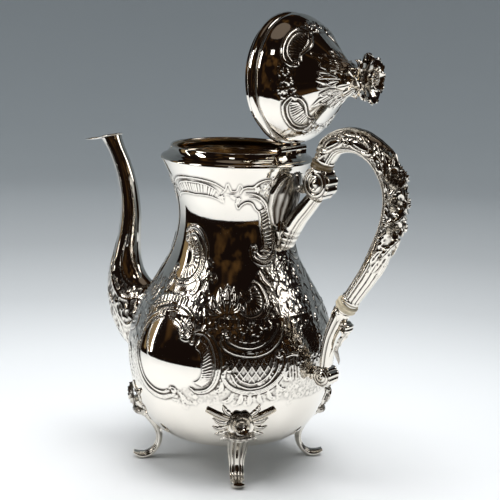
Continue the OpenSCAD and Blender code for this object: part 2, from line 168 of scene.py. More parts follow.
@dataclass
class Chasing:
    """Raised and sunk work drawn on an unrolled surface, columns in degrees and rows in millimetres.

    Args:
        radius: radius of the surface at each row's height.
        low: lowest row.
        high: highest row.
        first: first column in degrees.
        last: last column in degrees.
        pitch: row spacing.
        turn: column spacing in degrees.
    """

    radius: Profile
    low: float
    high: float
    first: float = -180.0
    last: float = 0.0
    pitch: float = 0.3
    turn: float = 0.3
    deg: np.ndarray = field(init=False)
    z: np.ndarray = field(init=False)
    per_deg: np.ndarray = field(init=False)
    height: np.ndarray = field(init=False)
    ground: np.ndarray = field(init=False)
    recess: np.ndarray = field(init=False)

    def __post_init__(self) -> None:
        """Lay out the empty map."""
        self.deg = np.arange(self.first, self.last + self.turn / 2, self.turn)
        self.z = np.arange(self.low, self.high + self.pitch / 2, self.pitch)
        self.per_deg = np.radians(1.0) * self.radius(self.z)
        self.height = np.zeros((len(self.z), len(self.deg)))
        self.ground, self.recess = np.zeros_like(self.height), np.zeros_like(self.height)

    def _scale(self, z: float) -> float:
        """Return the millimetres in one degree at a height."""
        return np.radians(1.0) * self.radius(np.array([z]))[0]

    def _row(self, z: float) -> int:
        """Return the row nearest a height, which may lie off the map."""
        return int(round((z - self.low) / self.pitch))

    def _column(self, d: float) -> int:
        """Return the column nearest a direction, which may lie off the map."""
        return int(round((d - self.first) / self.turn))

    def stroke(self, points: Knots, width: float, height: float, taper: tuple[float, float] = (1, 1),
            sink: bool = False, beside: float = 0.0) -> None:
        """Draw one rounded ridge, or one groove, along a smooth line.

        Args:
            points: the line as degrees and millimetres.
            width: half width in millimetres.
            height: height of the ridge or depth of the groove; below zero it wipes the ground level.
            taper: share of the width at the start and at the end.
            sink: cut below what is there, in place of rising above it.
            beside: how far to the left of the line it runs, tapering with the width.
        """
        c = smooth(points, 10)
        k = self._scale(c[:, 1].mean())
        c = resample(np.stack([c[:, 0] * k, c[:, 1]], 1), min(0.5, 0.2 + width * 0.2))
        s = np.linspace(0, 1, len(c))
        share = np.interp(s, (0, 0.35, 0.65, 1), (taper[0], 1, 1, taper[1]))
        if beside:
            d = np.gradient(c, axis=0)
            d /= np.maximum(np.linalg.norm(d, axis=1), 1e-9)[:, None]
            c = c + np.stack([-d[:, 1], d[:, 0]], 1) * (beside * share)[:, None]
        w, h = np.maximum(0.28, width * share), height * (0.55 + 0.45 * share)
        for n in range(0, len(c), 20):
            part = slice(n, n + 21)
            x, z, reach = c[part, 0], c[part, 1], w[part].max()
            j0 = max(0, int((z.min() - reach - self.low) / self.pitch))
            j1 = min(len(self.z), int((z.max() + reach - self.low) / self.pitch) + 2)
            i0 = max(0, int(((x.min() - reach) / k - self.first) / self.turn))
            i1 = min(len(self.deg), int(((x.max() + reach) / k - self.first) / self.turn) + 2)
            if j0 >= j1 or i0 >= i1:
                continue
            dist = ((self.deg[i0:i1] * k)[None, :, None] - x) ** 2 + (self.z[j0:j1][:, None, None] - z) ** 2
            area = self.height[j0:j1, i0:i1]
            if height < 0:
                area[(dist < w[part] ** 2).any(-1)] = 0
                continue
            rise = (np.sqrt(np.clip(1 - dist / w[part] ** 2, 0, 1)) * h[part]).max(-1)
            if sink:
                area -= rise
            else:
                np.maximum(area, rise, out=area)

    def moulding(self, points: Knots, width: float, height: float, taper: tuple[float, float] = (0.35, 1),
            lines: int = 3) -> None:
        """Draw a scroll band of parallel ridges with fine grooves between them.

        Args:
            points: the middle of the band.
            width: half width of the whole band.
            height: height of its highest ridge.
            taper: share of the width at the start and at the end.
            lines: how many ridges it has.
        """
        own = width / lines
        self.stroke(points, width + 0.75, -1.0, taper)
        for hand in (-1, 1):
            self.stroke(points, 0.42, 0.36, taper, sink=True, beside=hand * (width + 0.25))
        for n in range(lines):
            at = (n - (lines - 1) / 2) * 2 * own
            self.stroke(points, own * 0.98, height * (1.0 if n == lines // 2 else 0.8), taper, beside=at)

    def sprig(self, d: float, z: float, angle: float, size: float, height: float, hand: int) -> None:
        """Lay a curled stem with small leaves along its outer side.

        Args:
            d: root of the stem in degrees.
            z: root of the stem in millimetres.
            angle: direction in which it grows, in radians.
            size: length of the stem.
            height: height of the leaves.
            hand: +1 or -1, which way it curls.
        """
        k = self._scale(z)
        t = np.linspace(0, 1, 7)
        turn = angle + hand * 3.6 * t ** 1.6
        x = np.concatenate([[0], np.cumsum(np.cos(turn[:-1]))]) * size / 6
        y = np.concatenate([[0], np.cumsum(np.sin(turn[:-1]))]) * size / 6
        self.stroke(np.stack([d + x / k, z + y], 1), size * 0.075, height, (1, 0.6))
        self.stroke(((d + x[-1] / k, z + y[-1]), (d + x[-1] / k + 0.1, z + y[-1])), size * 0.13, height * 1.2)
        for n in (1, 2, 3, 4):
            a = turn[n] - hand * 0.95
            run = size * (0.5 - 0.06 * n)
            self.leaf((d + x[n] / k, z + y[n]), (d + (x[n] + run * math.cos(a)) / k, z + y[n] + run
                * math.sin(a)), -0.18 * hand, size * 0.13, height * 0.95)

    def volute(self, d: float, z: float, size: float, width: float, height: float, start: float,
            turns: float = 1.1, hand: int = 1) -> None:
        """Curl a ridge inwards to a bead, as a scroll ends.

        Args:
            d: the bead in degrees.
            z: the bead in millimetres.
            size: radius where the curl starts.
            width: half width of the ridge.
            height: height of the ridge.
            start: direction of the start from the bead, in degrees.
            turns: how many turns it makes.
            hand: +1 or -1, which way it curls.
        """
        k = self._scale(z)
        a = np.radians(start) + hand * np.linspace(0, turns * 2 * np.pi, 14)
        r = np.linspace(size, size * 0.25, 14)
        self.stroke(np.stack([d + r * np.cos(a) / k, z + r * np.sin(a)], 1), width * 0.8, height, (1, 0.7))
        self.stroke(((d, z), (d + 0.2, z)), width * 1.1, height * 1.15)

    def leaf(self, base: Sequence[float], tip: Sequence[float], bend: float, width: float,
            height: float) -> None:
        """Lay one pointed leaf with a sunk midrib.

        Args:
            base: its root, in degrees and millimetres.
            tip: its tip.
            bend: how far it bows to the left, as a share of its length.
            width: half width.
            height: height above the ground.
        """
        b, t = np.asarray(base, float), np.asarray(tip, float)
        mid = (b + t) / 2 + bend * np.array([-(t - b)[1], (t - b)[0]])
        self.stroke((b, mid, t), width, height, (0.5, 0.12))
        self.stroke((b, mid, t), width * 0.3, height * 0.45, (0.8, 0.3), sink=True)

    def flower(self, d: float, z: float, size: float, height: float, petals: int = 5) -> None:
        """Raise one open blossom.

        Args:
            d: its middle in degrees.
            z: its middle in millimetres.
            size: radius.
            height: height above the ground.
            petals: how many petals it has.
        """
        i, j, span = self._column(d), self._row(z), int(size / self.pitch)
        if not -20 < j < len(self.z) + 20:
            return
        w = int(size / float(self.per_deg[min(max(j, 0), len(self.z) - 1)]) / self.turn) + 2
        rows = slice(max(0, j - span - 1), min(len(self.z), j + span + 2))
        cols = slice(max(0, i - w), min(len(self.deg), i + w + 1))
        if rows.start >= rows.stop or cols.start >= cols.stop:
            return
        near = float(self.per_deg[min(max(j, 0), len(self.z) - 1)])
        dist = np.hypot((self.deg[cols][None, :] - d) * near, self.z[rows][:, None] - z)
        k = float(self.per_deg[min(max(int((z - self.low) / self.pitch), 0), len(self.z) - 1)])
        ang = np.arctan2(self.z[rows][:, None] - z, (self.deg[cols][None, :] - d) * k)
        rim = size * (0.72 + 0.28 * np.abs(np.cos(petals * ang / 2)))
        s = dist / rim
        rise = height * np.where(s < 1, 0.55 + 0.45 * np.sin(np.clip(s, 0, 1) * np.pi) - 0.35
            * (np.abs(np.cos(petals * ang / 2)) < 0.25), 0)
        rise = np.where(dist < size * 0.24, height * 1.1, rise)
        area = self.height[rows, cols]
        np.copyto(area, np.where(s < 1, np.maximum(rise, area * 0.3), area))

    def flutes(self, inner: Knots, outer: Knots, count: int, width: float, height: float) -> None:
        """Fill the space between two lines with short rounded ribs.

        Args:
            inner: one line.
            outer: the other line.
            count: how many ribs.
            width: half width of a rib.
            height: height of a rib.
        """
        a, b = smooth(inner, 12), smooth(outer, 12)
        for s in np.linspace(0.02, 0.98, count):
            p, q = a[int(s * (len(a) - 1))], b[int(s * (len(b) - 1))]
            self.stroke((p, (p + q) / 2, q), width, height, (0.5, 1))

    def within(self, corners: Knots) -> np.ndarray:
        """Find the cells inside a polygon.

        Args:
            corners: its corners in degrees and millimetres.

        Returns:
            True for each cell inside.
        """
        c = np.asarray(corners, float)
        x, y = np.meshgrid(self.deg, self.z)
        hit = np.zeros(x.shape, bool)
        for (x0, y0), (x1, y1) in zip(c, np.roll(c, -1, 0)):
            if y0 == y1:
                continue
            hit ^= ((y0 > y) != (y1 > y)) & (x < (x1 - x0) * (y - y0) / (y1 - y0) + x0)
        return hit

    def foliage(self, area: np.ndarray, pitch: float, seed: int, height: float, size: float = 4.2) -> None:
        """Fill an area with curled sprigs and small blossoms, and mark it as sunk, punched ground.

        Args:
            area: the cells to fill.
            pitch: distance between two sprigs.
            seed: seed of the fixed random order.
            height: height of a leaf.
            size: length of a sprig.
        """
        rng = np.random.default_rng(seed)
        row = 0
        for z in np.arange(self.low, self.high, pitch * 0.8):
            k = self._scale(z)
            row += 1
            for d in np.arange(self.first + (row % 2) * pitch / k / 2, self.last, pitch / k):
                dd, zz = d + rng.uniform(-0.25, 0.25) * pitch / k, z + rng.uniform(-0.25, 0.25) * pitch
                pick, a, hand = rng.integers(6), rng.uniform(0, 2 * np.pi), rng.choice((-1, 1))
                i, j = self._column(dd), self._row(zz)
                if not (0 <= i < len(self.deg) and 0 <= j < len(self.z)) or not area[j, i]:
                    continue
                if pick == 0:
                    self.flower(dd, zz, size * 0.42, height * 1.25)
                else:
                    self.sprig(dd, zz, a, size * rng.uniform(0.85, 1.15), height, int(hand))
        self.ground = np.maximum(self.ground, area.astype(float))

    def blur(self, values: np.ndarray, reach: int) -> np.ndarray:
        """Soften a layer by averaging it three times.

        Args:
            values: the layer.
            reach: the averaged square has 2 * reach + 1 cells a side.

        Returns:
            The softened layer.
        """
        out = values
        for _ in range(3):
            for axis in (0, 1):
                pad = [(reach + 1, reach) if a == axis else (0, 0) for a in (0, 1)]
                total = np.cumsum(np.pad(out, pad, mode="edge"), axis=axis)
                n = 2 * reach + 1
                upper = np.take(total, range(n, total.shape[axis]), axis=axis)
                lower = np.take(total, range(0, total.shape[axis] - n), axis=axis)
                out = (upper - lower) / n
        return out

    def settle(self, sink: float = 0.12, dark: float = 8.0) -> None:
        """Sink and punch the ground, soften the steps and work out where the hollows are painted with shade.

        Args:
            sink: depth of the ground.
            dark: how strongly the hollows are painted with shade.
        """
        soft = self.blur(self.ground, 2)
        low = self.blur((self.height < 0.08).astype(float), 1)
        punch = 0.5 + 0.5 * np.sin(self.deg[None, :] * self.per_deg[:, None] * 6.0) * np.sin(self.z[:, None]
            * 6.0)
        self.height = self.height - sink * soft * low * (0.7 + 0.6 * punch)
        self.height = 0.55 * self.height + 0.45 * self.blur(self.height, 1)
        # Painted shade: cells lying below their neighbours, and the sunk ground, get a darker colour.
        hollow = np.clip(self.blur(self.height, 2) - self.height, 0, None)
        self.recess = np.clip(hollow * dark + 0.10 * soft * low, 0, 1)

    def height_at(self, deg: np.ndarray, z: np.ndarray) -> np.ndarray:
        """Return the height of the work at given places."""
        return self._read(self.height, deg, z)

    def recess_at(self, deg: np.ndarray, z: np.ndarray) -> np.ndarray:
        """Return the painted shade at given places, stronger the deeper they lie in a recess."""
        return self._read(self.recess, deg, z)

    def _read(self, grid: np.ndarray, deg: np.ndarray, z: np.ndarray) -> np.ndarray:
        """Read a layer, blended between its cells.

        Args:
            grid: the layer.
            deg: directions in degrees.
            z: heights in millimetres.

        Returns:
            One value per place, zero outside the map.
        """
        i = (deg - self.first) / self.turn
        j = (z - self.low) / self.pitch
        ok = (i >= 0) & (i <= len(self.deg) - 1) & (j >= 0) & (j <= len(self.z) - 1)
        i, j = np.clip(i, 0, len(self.deg) - 1.001), np.clip(j, 0, len(self.z) - 1.001)
        a, b = i.astype(int), j.astype(int)
        u, v = i - a, j - b
        value = (grid[b, a] * (1 - u) * (1 - v) + grid[b, a + 1] * u * (1 - v) + grid[b + 1, a] * (1 - u) * v
            + grid[b + 1, a + 1] * u * v)
        return np.where(ok, value, 0)


@dataclass(frozen=True)
class Pen:
    """Draws on a map of the pot's side, turned over to the spout's side if asked.

    Args:
        chasing: the map.
        flip: turn every point over from the handle's side to the spout's side.
    """

    chasing: Chasing
    flip: bool

    def at(self, points: Knots) -> Knots:
        """Return the points on the side that the pen draws on."""
        return tuple((-180 - d, z) for d, z in points) if self.flip else points

    def stroke(self, points: Knots, width: float, height: float, taper: tuple[float, float] = (1, 1)) -> None:
        """Draw one ridge, as Chasing.stroke does."""
        self.chasing.stroke(self.at(points), width, height, taper)

    def moulding(self, points: Knots, width: float, height: float, taper: tuple[float, float],
            lines: int) -> None:
        """Draw a scroll band, as Chasing.moulding does."""
        self.chasing.moulding(self.at(points), width, height, taper, lines)

    def flutes(self, inner: Knots, outer: Knots, count: int, width: float, height: float) -> None:
        """Fill a space with ribs, as Chasing.flutes does."""
        self.chasing.flutes(self.at(inner), self.at(outer), count, width, height)

    def volute(self, d: float, z: float, size: float, width: float, height: float, start: float,
            hand: int) -> None:
        """Curl a ridge to a bead, as Chasing.volute does.

        Args:
            d: the bead in degrees.
            z: the bead in millimetres.
            size: radius where the curl starts.
            width: half width of the ridge.
            height: height of the ridge.
            start: direction of the start, in degrees.
            hand: +1 or -1, which way it curls.
        """
        if self.flip:
            d, start, hand = -180 - d, 180 - start, -hand
        self.chasing.volute(d, z, size, width, height, start, 1.1, hand)

    def flower(self, d: float, z: float, size: float, height: float) -> None:
        """Raise a blossom, as Chasing.flower does."""
        (dd, zz), = self.at(((d, z),))
        self.chasing.flower(dd, zz, size, height)

    def leaf(self, base: Sequence[float], tip: Sequence[float], bend: float, width: float,
            height: float) -> None:
        """Lay a leaf, as Chasing.leaf does."""
        b, t = self.at((base, tip))
        self.chasing.leaf(b, t, -bend if self.flip else bend, width, height)


# --- Finishes ---


@dataclass(frozen=True)
class Finish:
    """A metal or bone surface, made of shader nodes on Object coordinates.

    Args:
        name: the material's name.
        tint: colour of the clean surface.
        tarnish_and_shade: colour of the random tarnish and of the painted shade in the recesses.
        shine: roughness of the clean surface.
        metallic: one for metal.
        ripple: strength of the slow unevenness.
        grain: scale of the fine grain.
        grain_depth: strength of the fine grain.
        slot: the record's material slot; not used.
    """

    name: str
    tint: Colour
    tarnish_and_shade: Colour
    shine: float
    metallic: float = 1.0
    ripple: float = 0.04
    grain: float = 900.0
    grain_depth: float = 0.01
    slot: str = "silver"

    def make(self) -> bpy.types.Material:
        """Build the material once.

        Returns:
            The material.
        """
        if self.name in bpy.data.materials:
            return bpy.data.materials[self.name]
        mat = bpy.data.materials.new(self.name)
        mat.use_nodes = True
        nodes, links = mat.node_tree.nodes, mat.node_tree.links
        nodes.clear()
        out = nodes.new("ShaderNodeOutputMaterial")
        shader = nodes.new("ShaderNodeBsdfPrincipled")
        links.new(shader.outputs[0], out.inputs[0])
        shader.inputs["Metallic"].default_value = self.metallic
        place = nodes.new("ShaderNodeTexCoord")
        painted_shade = nodes.new("ShaderNodeAttribute")
        painted_shade.attribute_name = "recess"
        cloud = nodes.new("ShaderNodeTexNoise")
        cloud.inputs["Scale"].default_value = 45.0
        cloud.inputs["Detail"].default_value = 5.0
        links.new(place.outputs["Object"], cloud.inputs["Vector"])
        speck = nodes.new("ShaderNodeTexNoise")
        speck.inputs["Scale"].default_value = self.grain
        speck.inputs["Detail"].default_value = 3.0
        links.new(place.outputs["Object"], speck.inputs["Vector"])
        tarnish = nodes.new("ShaderNodeMapRange")
        tarnish.inputs["From Min"].default_value = 0.35
        tarnish.inputs["From Max"].default_value = 0.75
        tarnish.inputs["To Max"].default_value = 0.06
        links.new(cloud.outputs["Fac"], tarnish.inputs["Value"])
        # The recess attribute paints shade into the colour, darkest in hollows and inside; the cloud adds
        # random tarnish.
        amount = nodes.new("ShaderNodeMath")
        amount.operation = "ADD"
        amount.use_clamp = True
        links.new(painted_shade.outputs["Fac"], amount.inputs[0])
        links.new(tarnish.outputs[0], amount.inputs[1])
        mix = nodes.new("ShaderNodeMix")
        mix.data_type = "RGBA"
        mix.inputs["A"].default_value = (*self.tint, 1)
        mix.inputs["B"].default_value = (*self.tarnish_and_shade, 1)
        links.new(amount.outputs[0], mix.inputs["Factor"])
        links.new(mix.outputs["Result"], shader.inputs["Base Color"])
        rough = nodes.new("ShaderNodeMapRange")
        rough.inputs["To Min"].default_value = self.shine
        rough.inputs["To Max"].default_value = min(0.9, self.shine + 0.38)
        links.new(amount.outputs[0], rough.inputs["Value"])
        links.new(rough.outputs[0], shader.inputs["Roughness"])
        wave = nodes.new("ShaderNodeBump")
        wave.inputs["Strength"].default_value = self.ripple
        wave.inputs["Distance"].default_value = 0.002
        links.new(cloud.outputs["Fac"], wave.inputs["Height"])
        fine = nodes.new("ShaderNodeBump")
        fine.inputs["Strength"].default_value = self.grain_depth
        fine.inputs["Distance"].default_value = 0.0004
        links.new(speck.outputs["Fac"], fine.inputs["Height"])
        links.new(wave.outputs[0], fine.inputs["Normal"])
        links.new(fine.outputs[0], shader.inputs["Normal"])
        return mat


class Look(Enum):
    """The finishes of this pot."""

    SILVER = Finish("polished_silver", (0.94, 0.895, 0.82), (0.05, 0.036, 0.024), 0.04)
    CAST = Finish("cast_silver", (0.92, 0.87, 0.785), (0.05, 0.036, 0.025), 0.075, ripple=0.10,
        grain_depth=0.05)
    INSIDE = Finish("inner_gilt", (0.74, 0.54, 0.30), (0.16, 0.09, 0.04), 0.14, ripple=0.08, grain_depth=0.03)
    BONE = Finish("bone", (0.54, 0.42, 0.25), (0.30, 0.20, 0.10), 0.34, 0.0, ripple=0.10, grain=500.0,
        grain_depth=0.15, slot="bone")
    # Painted shade: a darker copy of the bone finish for the upper ring, standing in for the shade on it.
    SHADED_BONE = Finish("shaded_bone", (0.17, 0.115, 0.05), (0.09, 0.055, 0.025), 0.30, 0.0, ripple=0.10,
        grain=500.0, grain_depth=0.15, slot="bone")


# --- Mesh helpers ---


def new_ring(count: int) -> bmesh.types.BMesh:
    """Draw one unit circle.

    Args:
        count: vertices round it.

    Returns:
        A mesh with a turn value, in degrees, and a run value on each vertex.
    """
    bm = bmesh.new()
    turn = bm.verts.layers.float.new("turn")
    bm.verts.layers.float.new("run")
    bmesh.ops.create_circle(bm, cap_ends=False, segments=count, radius=1.0)
    for v in bm.verts:
        v[turn] = math.degrees(math.atan2(v.co.y, v.co.x))
    return bm


def frame_of(row: np.ndarray, ahead: np.ndarray) -> Matrix:
    """Return the placing of a unit circle as a section across a bar in the X-Z plane.

    Args:
        row: x, z, thickness in the plane and width across it.
        ahead: direction of travel in the plane.

    Returns:
        A matrix whose X runs across the bar in the plane and whose Y runs across the plane.
    """
    side = (ahead[1], -ahead[0])
    m = Matrix.Identity(4)
    m.col[0] = (side[0] * row[2] / 2, 0, side[1] * row[2] / 2, 0)
    m.col[1] = (0, row[3] / 2, 0, 0)
    m.col[2] = (ahead[0], 0, ahead[1], 0)
    m.col[3] = (row[0], 0, row[1], 1)
    return m


def sweep_frames(curve: np.ndarray) -> list[Matrix]:
    """Place every section along a bar.

    Args:
        curve: x, z, thickness and width of each section.

    Returns:
        One matrix per section.
    """
    d = np.gradient(curve[:, :2], axis=0)
    d /= np.linalg.norm(d, axis=1)[:, None]
    return [frame_of(row, ahead) for row, ahead in zip(curve, d)]


def next_ring(bm: bmesh.types.BMesh, ring: Sequence[bmesh.types.BMEdge]) -> tuple[list[bmesh.types.BMVert],
        list[bmesh.types.BMEdge]]:
    """Extrude a ring of edges in place.

    Args:
        bm: the mesh.
        ring: the ring's edges.

    Returns:
        The new ring's vertices and edges.
    """
    made = bmesh.ops.extrude_edge_only(bm, edges=ring)["geom"]
    verts = [g for g in made if isinstance(g, bmesh.types.BMVert)]
    fresh = set(verts)
    return verts, [g for g in made if isinstance(g, bmesh.types.BMEdge) and fresh.issuperset(g.verts)]


def sweep(frames: Sequence[Matrix], around: int, caps: bool = True) -> bmesh.types.BMesh:
    """Extrude a ring through a row of sections.

    Args:
        frames: where each section stands.
        around: vertices in each ring.
        caps: close both ends; otherwise the last ring is bridged back to the first.

    Returns:
        A closed mesh with turn and run values on its vertices.
    """
    bm = new_ring(around)
    run = bm.verts.layers.float["run"]
    bmesh.ops.transform(bm, matrix=frames[0], verts=bm.verts[:])
    ring = bm.edges[:]
    first = ring
    for n in range(1, len(frames)):
        verts, ring = next_ring(bm, ring)
        bmesh.ops.transform(bm, matrix=frames[n] @ frames[n - 1].inverted(), verts=verts)
        for v in verts:
            v[run] = n / (len(frames) - 1)
    if caps:
        bmesh.ops.holes_fill(bm, edges=bm.edges[:], sides=0)
        for face in [f for f in bm.faces if len(f.verts) > 4]:
            bmesh.ops.poke(bm, faces=[face])
    else:
        bmesh.ops.bridge_loops(bm, edges=list(first) + list(ring))
    bmesh.ops.recalc_face_normals(bm, faces=bm.faces[:])
    return bm


def turned(outline: np.ndarray, around: int) -> bmesh.types.BMesh:
    """Spin a closed outline of radius and height round the upright axis.

    Args:
        outline: the corners of the outline; the last joins the first.
        around: steps in the full turn.

    Returns:
        A closed mesh.
    """
    bm = bmesh.new()
    verts = [bm.verts.new((r, 0, z)) for r, z in outline]
    edges = [bm.edges.new((a, b)) for a, b in zip(verts, verts[1:] + verts[:1]) if a.co.x > 1e-6
        or b.co.x > 1e-6]
    steps, share = around, 1
    while steps > LATHE_STEPS and steps % 2 == 0:
        steps, share = steps // 2, share * 2
    bmesh.ops.spin(bm, geom=verts + edges, cent=(0, 0, 0), axis=(0, 0, 1), angle=2 * math.pi / share,
        steps=steps, use_merge=share == 1, use_duplicate=False)
    bmesh.ops.remove_doubles(bm, verts=bm.verts[:], dist=WELD)
    while share > 1:
        copied = bmesh.ops.duplicate(bm, geom=bm.verts[:] + bm.edges[:] + bm.faces[:])["geom"]
        bmesh.ops.rotate(bm, cent=(0, 0, 0), matrix=Matrix.Rotation(2 * math.pi / share, 3, "Z"), verts=[g
            for g in copied if isinstance(g, bmesh.types.BMVert)])
        share //= 2
    bmesh.ops.remove_doubles(bm, verts=bm.verts[:], dist=WELD)
    bmesh.ops.recalc_face_normals(bm, faces=bm.faces[:])
    return bm


def sheet_grid(long: int, wide: int) -> bmesh.types.BMesh:
    """Lay out a flat grid.

    Args:
        long: squares along it.
        wide: squares across it.

    Returns:
        A mesh with run values from 0 to 1 along it and turn values from -1 to 1 across it.
    """
    bm = bmesh.new()
    bmesh.ops.create_grid(bm, x_segments=long, y_segments=wide, size=1.0)
    turn = bm.verts.layers.float.new("turn")
    run = bm.verts.layers.float.new("run")
    for v in bm.verts:
        v[run], v[turn] = (v.co.x + 1) / 2, v.co.y
    return bm


def values(mesh: bpy.types.Mesh, name: str) -> np.ndarray:
    """Read an attribute.

    Args:
        mesh: the mesh.
        name: the attribute.

    Returns:
        One number per vertex.
    """
    out = np.zeros(len(mesh.vertices), np.float32)
    mesh.attributes[name].data.foreach_get("value", out)
    return out.astype(float)


def rows_of(items: bpy.types.bpy_prop_collection, key: str) -> np.ndarray:
    """Read a vector from every item of a collection.

    Args:
        items: the collection.
        key: the vector's name.

    Returns:
        One row per item.
    """
    out = np.zeros(len(items) * 3, np.float32)
    items.foreach_get(key, out)
    return out.reshape(-1, 3).astype(float)


def places(mesh: bpy.types.Mesh) -> np.ndarray:
    """Return the vertices' places as rows."""
    return rows_of(mesh.vertices, "co")


def put_places(mesh: bpy.types.Mesh, co: np.ndarray) -> None:
    """Move the vertices to new places."""
    mesh.vertices.foreach_set("co", co.astype(np.float32).ravel())
    mesh.update()


def normals(mesh: bpy.types.Mesh) -> np.ndarray:
    """Return the vertices' normals as rows."""
    return rows_of(mesh.vertex_normals, "vector")


def put_recess(mesh: bpy.types.Mesh, amount: np.ndarray) -> None:
    """Store each vertex's painted shade, stronger the deeper it lies in a recess."""
    layer = mesh.attributes.get("recess") or mesh.attributes.new("recess", "FLOAT", "POINT")
    layer.data.foreach_set("value", amount.astype(np.float32))


def to_mesh(bm: bmesh.types.BMesh, name: str) -> bpy.types.Mesh:
    """Turn a working mesh into a finished one and free it.

    Args:
        bm: the working mesh.
        name: the finished mesh's name.

    Returns:
        The finished mesh.
    """
    mesh = bpy.data.meshes.new(name)
    bm.to_mesh(mesh)
    bm.free()
    return mesh


@dataclass(frozen=True)
class Piece:
    """How a finished mesh joins the pot.

    Args:
        name: the piece's name.
        body: the body it rides on.
        look: its finish.
        nodes: the CAD nodes it stands for.
        place: the move from its working millimetres to the row.
    """

    name: str
    body: str
    look: Look
    nodes: tuple[str, ...] = ()
    place: Callable[[], Matrix] = on_pot

    def add(self, mesh: bpy.types.Mesh, inner: np.ndarray | None = None) -> bpy.types.Object:
        """Place, dress and link the mesh, and hide the CAD nodes it stands for.

        Args:
            mesh: the mesh in working millimetres.
            inner: marks the vertices of the faces that carry the inner finish.

        Returns:
            The finished object.
        """
        mesh.materials.append(self.look.value.make())
        if inner is not None:
            mesh.materials.append(Look.INSIDE.value.make())
            corners, first = np.zeros(len(mesh.loops), np.int32), np.zeros(len(mesh.polygons), np.int32)
            mesh.loops.foreach_get("vertex_index", corners)
            mesh.polygons.foreach_get("loop_start", first)
            mesh.polygons.foreach_set("material_index", np.minimum.reduceat(inner[corners].astype(np.int32),
                first))
        mesh.transform(self.place())
        mesh.polygons.foreach_set("use_smooth", np.full(len(mesh.polygons), True))
        mesh.set_sharp_from_angle(angle=math.radians(SHARP_EDGE))
        if "recess" not in mesh.attributes:
            put_recess(mesh, np.zeros(len(mesh.vertices)))
        obj = bpy.data.objects.new(self.name, mesh)
        bpy.context.collection.objects.link(obj)
        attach(obj, self.body)
        if self.nodes:
            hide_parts(*self.nodes)
        LOG.info("%s: %d faces", self.name, len(mesh.polygons))
        return obj


def merged(meshes: Iterable[bpy.types.Mesh], name: str) -> bpy.types.Mesh:
    """Gather several meshes into one.

    Args:
        meshes: the meshes, which are used up.
        name: the new mesh's name.

    Returns:
        The new mesh.
    """
    bm = bmesh.new()
    for m in meshes:
        bm.from_mesh(m)
        bpy.data.meshes.remove(m)
    return to_mesh(bm, name)


# --- Vessel ---


